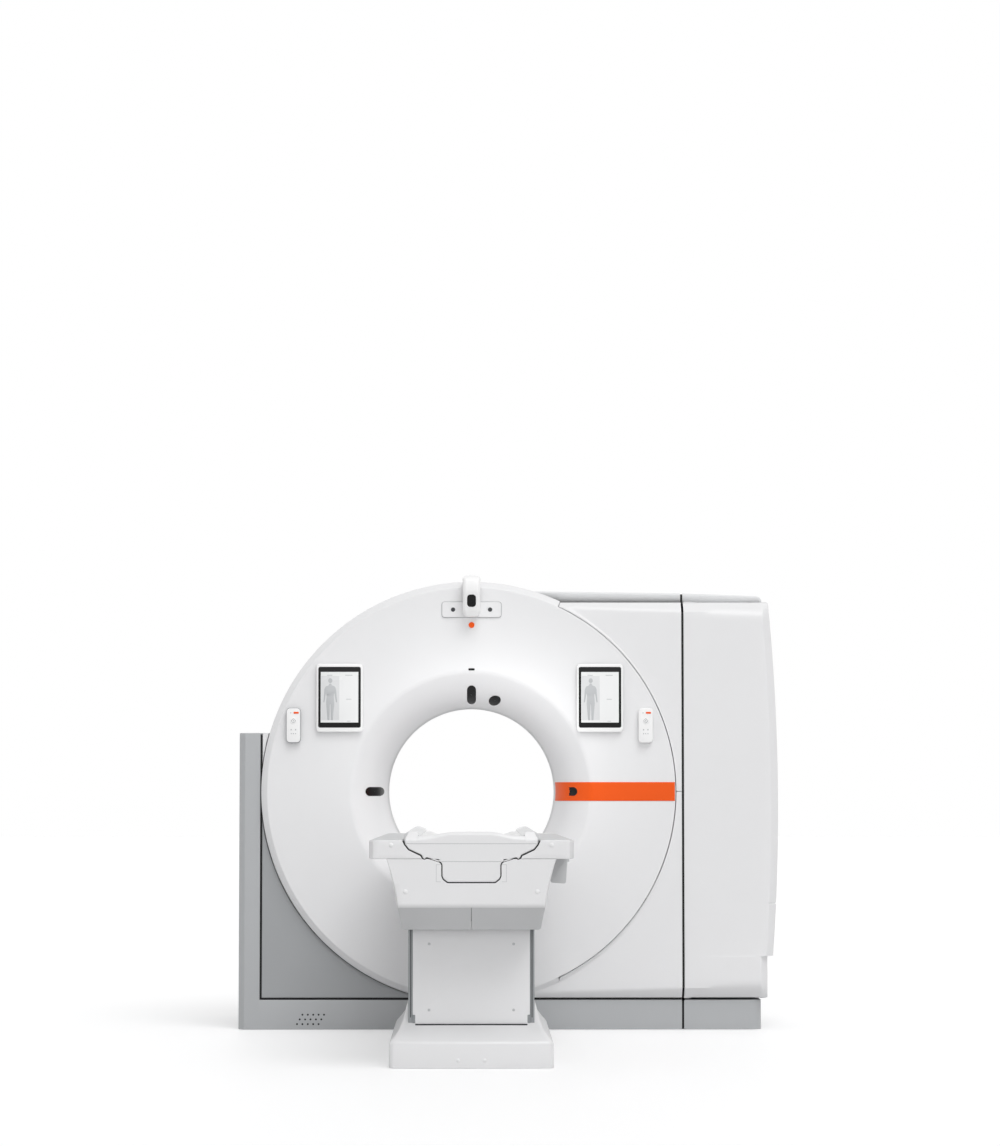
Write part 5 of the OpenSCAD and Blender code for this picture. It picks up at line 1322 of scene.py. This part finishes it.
    def floor(self, shape: Shape, y: Array, half: Array, z: float, up: int) -> None:
        """Level sheet of half width half over y, with an opening of 230 mm to each side where the pedestal
        passes.

        Args:
            shape: takes the sheet.
            y: its rows.
            half: half width at each row.
            z: its height.
            up: one where it looks up, minus one where it looks down.
        """
        stop = np.where((y > self.mouth[0] + 0.05) & (y < self.mouth[3] - 0.05),
                        np.minimum(230.0, half - 1.0), 0.0)
        share = np.linspace(0.0, 1.0, 8)[None]
        for s in (-1, 1):
            x = s * (half[:, None] + (stop - half)[:, None] * share)
            shape.grid(np.stack([x, y[:, None] + 0 * x, z + 0 * x], -1), (0, 0, up))

    def foot_face(self, shape: Shape, z: Array, low_y: Array) -> None:
        """Foot end of the body: rows beside the trough's opening, rows below it, and short walls behind its
        edge."""
        tx, tz = self.unit_low(self.top_gap)
        tx, tz = tx[tx < 150], self.deck + tz[tx < 150]
        floor = float(tz.min())
        levels = np.unique(np.concatenate([tz[(tz > floor) & (tz < self.wing_z)],
                                           [716.2, 715.2, 657.6, 656.6, 736.0], z[z > floor],
                                           [floor + 0.05]]))
        open_x = np.interp(levels, tz, tx)
        first, second = np.linspace(0.0, 1.0, 5)[None], np.linspace(0.0, 1.0, 9)[None]
        x = np.concatenate([open_x[:, None] + (120.4 - open_x[:, None]) * first,
                            121.4 + (self.face_half(levels)[:, None] - 121.4) * second], 1)
        x = np.where(open_x[:, None] > 119.0,
                     open_x[:, None] + (self.face_half(levels)[:, None] - open_x[:, None])
                     * np.linspace(0.0, 1.0, 14)[None], x)
        zz = levels[:, None] + 0 * x
        for s in (-1, 1):
            shape.grid(np.stack([s * x, self.foot_y + 0 * x, zz], -1), (0, -1, 0))
            wall = np.stack([s * np.interp(levels, tz, tx), levels], 1)
            depth = np.array([0.0, 22.0])[:, None]
            shape.grid(np.stack([wall[:, 0] + 0 * depth, self.foot_y + depth + 0 * wall[:, 0],
                                 wall[:, 1] + 0 * depth], -1), (-s, 0, 0))
        under = np.unique(np.concatenate([z[z < floor], [floor]]))[:, None]
        y = np.interp(under[:, 0], z[::-1], low_y[::-1])[:, None]
        v = np.linspace(-1.0, 1.0, 27)[None]
        shape.grid(np.stack([self.face_half(under) * v, y + 0 * v, under + 0 * v], -1), (0, -1, 0))
        sill = np.array([self.foot_y, self.foot_y + 22.0])[:, None]
        span = np.linspace(-open_x[0], open_x[0], 6)[None]
        shape.grid(np.stack([span + 0 * sill, sill + 0 * span, floor + 0 * sill + 0 * span], -1), (0, 0, 1))

    def skirt(self) -> None:
        """Two halves under the body, painted grey as the shade beneath it, rounded along their lower edges
        and parted by a fine seam.
        """
        shape = Shape()
        a = np.linspace(0.0, math.pi / 2, 6)
        for s in (-1, 1):
            path = refine(fillet([(-2604, 567), (-2430, 484), (-1340, 484), (-1100, 567)], (0, 30, 60, 0),
                                 False, 8), 90.0)
            path = np.concatenate([path, [(y, 484.0) for y in self.mouth]])
            path = path[np.argsort(path[:, 0])]
            y, z0 = path[:, 0][None], path[:, 1][None]
            tall = 567.0 - z0
            r = np.minimum(9.0, 0.45 * tall)
            t = np.linspace(0.0, 1.0, 8)[:, None]
            side_z = 567.0 - (tall - r) * t
            side_x = 256.5 - 12.0 * (567.0 - side_z) / 84.0
            bend_z = z0 + r * (1 - np.sin(a[:, None]))
            bend_x = 256.5 - 12.0 * (tall - r) / 84.0 - r * (1 - np.cos(a[:, None]))
            stop = np.where((y > self.mouth[0] + 0.05) & (y < self.mouth[3] - 0.05), 230.0, 0.7)
            in_x = bend_x[-1:] + (stop - bend_x[-1:]) * np.linspace(0.0, 1.0, 12)[1:, None]
            x = np.concatenate([side_x, bend_x[1:], in_x])
            z = np.concatenate([side_z, bend_z[1:], z0 + 0 * in_x])
            shape.grid(np.stack([s * x, y + 0 * x, z], -1), (s * 0.5, 0, -1))
        shape.finish("table_skirt_shell", Paint.TABLE_GREY.material(), "lift", ("table_skirt",), "top_grey")

    def top(self) -> None:
        """Cradle: a dish between two rims with the keel under its foot end."""
        rim_x = np.array([187, 193, 203, 212, 219, 226, 231, 234, 235.0])
        inner = np.linspace(0, 184, 20)
        dish = self.dish_centre - np.sqrt(self.dish_r**2 - inner**2)
        x = np.concatenate([inner, rim_x])
        high = np.concatenate([dish, [32.8, 35.6, 39.8, 41.6, 41.6, 39.6, 36.0, 31.5, 26.0]])
        low_x, low_z = [0, 100, 120, 173, 216, 229, 233.5, 235], [-50, -50, -47, -36, -17, -1, 8, 18]
        low = np.interp(x, low_x, low_z)
        both = np.concatenate([-x[::-1], x[1:]])
        high, low = (np.concatenate([v[::-1], v[1:]]) for v in (high, low))
        shape = Shape()
        shape.between(both, self.deck + low, self.deck + high, self.foot_y + 33.9, self.foot_y + 2044,
                      (0.5, 3.0), long_steps=20)
        kx = np.array([0, 81, 90, 95, 98, 99.0])
        kz = np.array([-131, -131, -126, -120, -113, -105.0])
        both = np.concatenate([-kx[::-1], kx[1:]])
        low = np.concatenate([kz[::-1], kz[1:]])
        shape.between(both, self.deck + low, self.deck + 0 * low - 49.0, self.foot_y + 33.9,
                      self.foot_y + 294, (0.5, 4.0))
        shape.finish("cradle_shell", Paint.CRADLE.material(), "tabletop", ("cradle",), "cradle_grey")

    def end_cap(self) -> None:
        """Foot end cap: lower outline of the moving top, a bowed upper edge, and a corner block at each
        side."""
        lx, lz = self.unit_low(0.6)
        x = np.unique(np.concatenate([lx, np.linspace(0, 186, 32),
                                      [187.5, 188.5, 200, 212, 215, 217, 219, 222, 226, 230]]))
        x = x[x <= 235.0]
        low = np.interp(x, lx, lz)
        crown = np.interp(x, [0, 60, 75, 92, 110, 122, 135, 150, 187],
                          [42, 41.8, 41, 38.6, 35.6, 33, 30.4, 29, 27])
        block = np.interp(x, [187, 212, 216, 219, 235.6], [43.0, 43.0, 42.2, 40.0, 9.0])
        high = np.maximum(np.where(x < 187.6, crown, block), low + 0.05)
        both = np.concatenate([-x[::-1], x[1:]])
        low, high = (np.concatenate([v[::-1], v[1:]]) for v in (low, high))
        shape = Shape()
        shape.between(both, self.deck + low, self.deck + high, self.foot_y, self.foot_y + 33.7, (2.2, 0.5),
                      self.lean, 6, 21)
        shape.finish("end_cap_shell", Paint.TABLE.material(), "tabletop", ("end_cap",), "cover_white")
        # two grey lines of painted shade in the cap's seam grooves
        lines = Shape()
        for z, w in ((self.deck + 1.0, 227.0), (self.deck - 61.0, 104.0)):
            lines.prism(rounded_box(2 * w, 1.3, 0.6, 2) + (0, z), self.foot_y - 0.2, self.foot_y + 2,
                        0.1, along_y, 1)
        lines.finish("end_cap_seam_shade", Paint.LINE.material(), "tabletop", (), "seal_black")

    def lean(self, p: Array) -> Array:
        """Bevels the cap's face back above a bowed line: three quarters of the height over that line."""
        line = np.interp(np.abs(p[..., 0]), [0, 60, 90, 110, 134, 187, 235],
                         [30.6, 30.6, 28.5, 25.6, 19.5, 14.0, 11.6])
        up = np.clip(p[..., 2] - self.deck - line, 0.0, 40.0)
        near = np.clip(1 - (p[..., 1] - self.foot_y) / 33.0, 0.0, 1.0)
        return np.stack([p[..., 0], p[..., 1] + 0.75 * up * near, p[..., 2]], -1)

    def mattress(self) -> None:
        """Thin pad that fills the dish: its underside follows the cradle, its top is hollow, and cloth under
        pressure puffs it between four sewn seams."""
        x = np.concatenate([np.linspace(0, 168, 26), [172, 175, 177.0]])
        low = self.dish_centre - np.sqrt(self.pad_under_r**2 - x**2)
        high = self.pad_top_centre - np.sqrt(self.pad_top_r**2 - x**2)
        close = smooth_step(x, 168.0, 177.0)
        high = high - 2.2 * close
        low = low + 0.8 * close
        both = np.concatenate([-x[::-1], x[1:]])
        low, high = (np.concatenate([v[::-1], v[1:]]) for v in (low, high))
        shape = Shape()
        start, end = self.foot_y + 76.0, self.foot_y + 2003.0
        shape.between(both, self.deck + low, self.deck + high, start, end, (5.0, 5.0), long_steps=176)
        pad = shape.finish("mattress_pad", Pads.material(), "tabletop", ("mattress",),
                           "mattress_white", 0.0, 70.0)
        seams = np.linspace(start, end, 6)[1:-1]
        self.puff(pad, seams)
        smooth = pad.modifiers.new("smooth", "SUBSURF")
        smooth.levels = smooth.render_levels = 1

    def puff(self, pad: bpy.types.Object, seams: Array, limit: float = 5.0) -> None:
        """Runs twenty frames of cloth under pressure and writes the capped result back.

        Args:
            pad: the closed pad; its underside, its edge and its seams stay pinned.
            seams: y of each sewn seam in millimetres.
            limit: farthest that a point may move, in millimetres.
        """
        mesh = pad.data
        count = len(mesh.vertices)
        rest = np.empty(3 * count)
        mesh.vertices.foreach_get("co", rest)
        rest = rest.reshape(-1, 3)
        x, y, z = (rest / MM).T
        across = np.minimum(np.abs(x), 300.0)
        under = self.deck + self.dish_centre - np.sqrt(self.pad_under_r**2 - across**2)
        sewn = np.min(np.abs(y[:, None] - seams[None]), axis=1) < 3.0
        held = (z < under + 2.2) | (np.abs(x) > 174.0) | sewn | (y < y.min() + 3.0) | (y > y.max() - 3.0)
        group = pad.vertex_groups.new(name="held")
        group.add(np.flatnonzero(held).tolist(), 1.0, "REPLACE")
        cloth = pad.modifiers.new("puff", "CLOTH")
        cloth.settings.vertex_group_mass = group.name
        cloth.settings.use_pressure = True
        cloth.settings.uniform_pressure_force = 4.0
        cloth.settings.effector_weights.gravity = 0.0
        cloth.settings.tension_stiffness = 12.0
        cloth.settings.compression_stiffness = 12.0
        scene = bpy.context.scene
        for frame in range(1, 21):
            scene.frame_set(frame)
        shaped = pad.evaluated_get(bpy.context.evaluated_depsgraph_get())
        moved = np.empty(3 * count)
        shaped.data.vertices.foreach_get("co", moved)
        step = moved.reshape(-1, 3) - rest
        far = np.linalg.norm(step, axis=1, keepdims=True)
        step *= np.minimum(1.0, limit * MM / np.maximum(far, 1e-9))
        pad.modifiers.remove(cloth)
        pad.vertex_groups.clear()
        scene.frame_set(1)
        mesh.vertices.foreach_set("co", (rest + step).ravel())
        mesh.update()
        log.info("pad puffed by up to %.1f mm", float(np.max(np.linalg.norm(step, axis=1))) / MM)

    def pocket(self) -> None:
        """Small pocket under the right wing, painted grey as the shade it hangs in, with a knob beside it."""
        shape = Shape()
        y0 = self.foot_y + 560.0
        outline = fillet([(297, 735), (287, 640), (343, 636), (350, 735)], (1, 8, 8, 1), True, 4)
        shape.prism(outline, y0, y0 + 5, 1.0, along_y, 2)
        shape.prism(outline, y0 + 165, y0 + 170, 1.0, along_y, 2)
        wall = fillet([(297, 735), (287, 640), (343, 636), (350, 735), (345, 735), (338, 641), (292, 645),
                       (302, 735)], (1, 8, 8, 1, 1, 5, 5, 1), True, 4)
        shape.prism(wall, y0 + 5, y0 + 165, 0.5, along_y, 1)
        shape.prism(circle(6.0, 24) + (y0 + 80, 720.0), 349.0, 357.5, 1.5, along_x, 3)
        shape.finish("side_pocket_shell", Paint.TABLE_GREY.material(), "lift", ("side_pocket",), "cover_grey")

    def pedestal(self) -> None:
        """Front plate with notched feet, side channels, and rounded back of the middle lift stage."""
        plate = fillet([(-208, 510), (-208, 180), (-199, 180), (-199, 148), (199, 148), (199, 180),
                        (208, 180), (208, 510)], 2.0, True, 3)
        shape = Shape()
        shape.prism(plate, -2336.0, -2330.0, 1.2, along_y, 3)
        shape.finish("pedestal_front_plate", Paint.PLATE.material(), "stage", ("pedestal_plate",), "top_grey")
        shape = Shape()
        outline = fillet([(-224, -2328), (-209, -2328), (-209, -2309), (-221, -2309), (-221, -2302),
                          (221, -2302), (221, -2309), (209, -2309), (209, -2328), (224, -2328), (224, -1450),
                          (-224, -1450)], (2, 1, 1, 1, 1, 1, 1, 1, 1, 2, 6, 6), True, 3)
        shape.loft(np.array([along_z(outline, z) for z in (148.0, 329.0, 510.0)]), (False, False))
        front = fillet([(-209, -2330.3), (209, -2330.3), (209, -2301), (-209, -2301)], 0.5, True, 2)
        shape.prism(front, 150.0, 509.0, 0.5, along_z, 1)
        shape.finish("pedestal_channels", Paint.CHANNEL.material(), "stage",
                     ("pedestal_stage",), "stage_grey")
        # black strips where the channels' slots are: painted shade inside the slots
        slots = Shape()
        for x in (-215.5, 215.5):
            slots.prism(rounded_box(2.6, 330.0, 1.2, 3) + (x, 335.0), -2328.4, -2326.0, 0.2, along_y, 1)
        slots.finish("channel_slot_shade", Paint.SEAL.material(), "stage", (), "seal_black")
        caps = Shape()
        for x in (-150, 150):
            for z in (430, 197):
                caps.prism(circle(5.0, 24) + (x, z), -2337.0, -2335.5, 0.5, along_y, 2)
        caps.finish("plate_screw_caps", Paint.SCREW.material(), "stage", (), "pad_grey")

    def base(self) -> None:
        """Base cover: loops of falling size from the floor to the shoulder round the pedestal."""
        levels = [(0, 290, -2450, -1220), (84, 290, -2450, -1220), (88, 288.5, -2449, -1221),
                  (93, 285, -2445.5, -1224), (98, 281, -2440, -1228), (103, 276, -2431, -1234),
                  (110, 270, -2424, -1240), (132, 254, -2362, -1258), (143, 250, -2342, -1266),
                  (149, 248, -2334, -1270), (152, 246, -2326, -1274), (160, 242, -2317, -1280),
                  (205, 232, -2268, -1303), (212, 230, -2262, -1306), (215, 227.5, -2259, -1310)]
        loops = []
        for z, half, y0, y1 in levels:
            bow = 15.0 * (1.0 if z < 100 else max(0.0, (150.0 - z) / 50.0))
            r = 45.0 if z < 120 else 16.0
            front = [(x * half, y0 + bow * x * x) for x in np.linspace(-0.86, 0.86, 15)]
            q = fillet([(-half, y1), (-half, y0 + bow), *front, (half, y0 + bow), (half, y1)],
                       (20, r, *([0] * 15), r, 20), True, 6)
            loops.append(np.stack([q[:, 0], q[:, 1], np.full(len(q), float(z))], 1))
        shape = Shape()
        shape.loft(np.array(loops), (False, False))
        y = np.array([-2243.0, -1440.1, -1440.0, -1330.0, -1322.0, -1316.0, -1312.0, -1310.4, -1310.0])
        half = 227.5 - 20.0 * (1.0 - np.sqrt(1.0 - np.clip((y + 1330.0) / 20.0, 0.0, 1.0) ** 2))
        self.floor(shape, y, half, 215.0, 1)
        shape.finish("table_base_shell", Paint.TABLE.material(), "gantry",
                     ("table_base_cover",), "cover_white")
        caps = Shape()
        for x in (-47.0, 47.0):
            self.dome(caps, x, 28.0, -2449.8, 7.0, 2.6)
        caps.finish("base_screw_caps", Paint.CAP.material(), "gantry", (), "cover_white")
        # black strip of painted shade in the gap under the pedestal plate
        shade_strip = Shape()
        shade_strip.prism(rounded_box(398.0, 4.2, 1.6, 3) + (0, 145.8), -2341.0, -2337.2, 0.6, along_y, 2)
        shade_strip.finish("base_gap_shade", Paint.SEAL.material(), "gantry", (), "seal_black")

    def build(self) -> None:
        """Makes the table."""
        self.wings()
        self.body()
        self.trough_gap_shade()
        self.caps()
        self.skirt()
        self.top()
        self.end_cap()
        self.mattress()
        self.pocket()
        self.pedestal()
        self.base()


class Pads:
    """Coated cloth of the table pad."""

    @staticmethod
    def material() -> bpy.types.Material:
        """Pale coated fabric: fine weave bump under a soft sheen, with slight tone changes."""
        mat = Finish("pad_cloth", "EEEEEE", roughness=0.55, mottle=0.03, grain_scale=900.0,
                     grain_depth=0.35).build()
        shader = mat.node_tree.nodes["Principled BSDF"]
        shader.inputs["Sheen Weight"].default_value = 0.15
        return mat


class Carried:
    """CAD nodes that keep their own mesh and get a finish here."""

    finishes: dict[Paint, tuple[str, ...]] = {Paint.STEEL: ("base_frame", "stator_frame", "rotor_drum",
                                                            "counterweight", "table_base_frame",
                                                            "lift_frame"),
                                              Paint.BRIGHT: ("bearing_outer_ring", "bearing_inner_ring",
                                                             "motor_pulley", "support_roller"),
                                              Paint.BRASS: ("slip_ring",),
                                              Paint.DARK: ("brush_block", "drive_motor", "collimator"),
                                              Paint.RUBBER: ("drive_belt",),
                                              Paint.HOUSING: ("xray_tube", "generator", "detector_arc"),
                                              # the gap seal's black is painted shade in the gaps between
                                              # covers
                                              Paint.SEAL: ("gap_seal",), Paint.GREY: ("floor_duct",),}

    @classmethod
    def dress(cls, nodes: dict[str, bpy.types.Object]) -> None:
        """Gives each carried node its finish."""
        for paint, names in cls.finishes.items():
            for name in names:
                for holder in nodes[name].material_slots:
                    holder.material = paint.material()


# Stage, light and camera


@dataclass
class Studio:
    """Pale floor, soft lamps and the camera at the photograph's place."""

    camera_at: tuple[float, float, float] = (0.0, -14.72, 0.97)
    focal_px: float = 3473.0
    pitch_deg: float = 3.6
    yaw_deg: float = -0.47
    sky: float = 0.54
    floor_tone: float = 0.72
    floor_lift: float = 0.30

    def camera(self) -> None:
        """Camera at the height of the scan axis, turned slightly up and right as the photograph frames it."""
        data = bpy.data.cameras.new("view")
        data.lens = self.focal_px * 36.0 / 1146.0
        data.clip_end = 200.0
        eye = bpy.data.objects.new("view", data)
        eye.location = self.camera_at
        eye.rotation_euler = (math.radians(90.0 + self.pitch_deg), 0.0, math.radians(self.yaw_deg))
        bpy.context.scene.collection.objects.link(eye)
        bpy.context.scene.camera = eye

    def sun(self, name: str, at: tuple[float, float, float], strength: float, spread_deg: float) -> None:
        """Wide soft sun lamp that shines from that side on the origin."""
        data = bpy.data.lights.new(name, "SUN")
        data.energy = strength
        data.angle = math.radians(spread_deg)
        obj = bpy.data.objects.new(name, data)
        obj.location = at
        obj.rotation_euler = Vector(at).to_track_quat("Z", "Y").to_euler()
        bpy.context.scene.collection.objects.link(obj)

    def soft_box(self) -> None:
        """Small square lamp in front of the bore that lights its funnel; the camera doesn't see it."""
        data = bpy.data.lights.new("bore", "AREA")
        data.size = 0.5
        data.energy = 1.05
        obj = bpy.data.objects.new("bore", data)
        obj.location = (0.1, -0.85, 1.2)
        obj.rotation_euler = (Vector(obj.location)
                              - Vector((0.0, -0.2, 0.98))).to_track_quat("Z", "Y").to_euler()
        obj.visible_camera = False
        obj.visible_glossy = False
        bpy.context.scene.collection.objects.link(obj)

    def floor(self) -> None:
        """Large plain floor that the camera sees as near white, with the object's soft shadow on it."""
        mesh = bpy.data.meshes.new("floor")
        s = 60.0
        mesh.from_pydata([(-s, -s, -0.001), (s, -s, -0.001), (s, s, -0.001), (-s, s, -0.001)],
                         [], [(0, 1, 2, 3)])
        obj = bpy.data.objects.new("floor", mesh)
        bpy.context.scene.collection.objects.link(obj)
        mat = bpy.data.materials.new("floor_pale")
        mat.use_nodes = True
        shader = mat.node_tree.nodes["Principled BSDF"]
        shader.inputs["Base Color"].default_value = (self.floor_tone, self.floor_tone,
                                                     self.floor_tone * 1.005, 1.0)
        shader.inputs["Roughness"].default_value = 0.55
        n = Nodes(mat.node_tree)
        path = n.add("ShaderNodeLightPath")
        lift = n.add("ShaderNodeMath", operation="MULTIPLY")
        lift.inputs[1].default_value = self.floor_lift
        n.link(path.outputs["Is Camera Ray"], lift.inputs[0])
        shader.inputs["Emission Color"].default_value = (1.0, 1.0, 1.0, 1.0)
        n.link(lift.outputs[0], shader.inputs["Emission Strength"])
        mesh.materials.append(mat)

    def world(self) -> None:
        """Even pale sky; the camera and glossy rays see it white."""
        world = bpy.data.worlds.new("sky")
        bpy.context.scene.world = world
        world.use_nodes = True
        tree = world.node_tree
        n = Nodes(tree)
        back = tree.nodes["Background"]
        back.inputs["Color"].default_value = (1.0, 1.0, 1.0, 1.0)
        path = n.add("ShaderNodeLightPath")
        seen = n.add("ShaderNodeMath", operation="MAXIMUM")
        n.link(path.outputs["Is Camera Ray"], seen.inputs[0])
        n.link(path.outputs["Is Glossy Ray"], seen.inputs[1])
        level = n.add("ShaderNodeMapRange")
        level.inputs["To Min"].default_value = self.sky
        level.inputs["To Max"].default_value = 1.0
        n.link(seen.outputs[0], level.inputs["Value"])
        n.link(level.outputs["Result"], back.inputs["Strength"])

    def build(self) -> None:
        """Sets view transform, camera, floor, sky and lamps."""
        bpy.context.scene.view_settings.view_transform = "Standard"
        self.camera()
        self.floor()
        self.world()
        self.sun("overhead", (2.2, -5.5, 8.0), 1.35, 40.0)
        self.sun("front", (1.5, -10.0, 1.0), 0.38, 60.0)
        self.soft_box()


def main() -> None:
    """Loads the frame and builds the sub-assemblies in order."""
    logging.basicConfig(level=logging.INFO, format="%(message)s")
    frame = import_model()
    Studio().build()
    FrontCover().build()
    SideCovers().build()
    Fittings().build()
    PatientTable().build()
    Carried.dress(frame["nodes"])


if __name__ == "__main__":
    main()
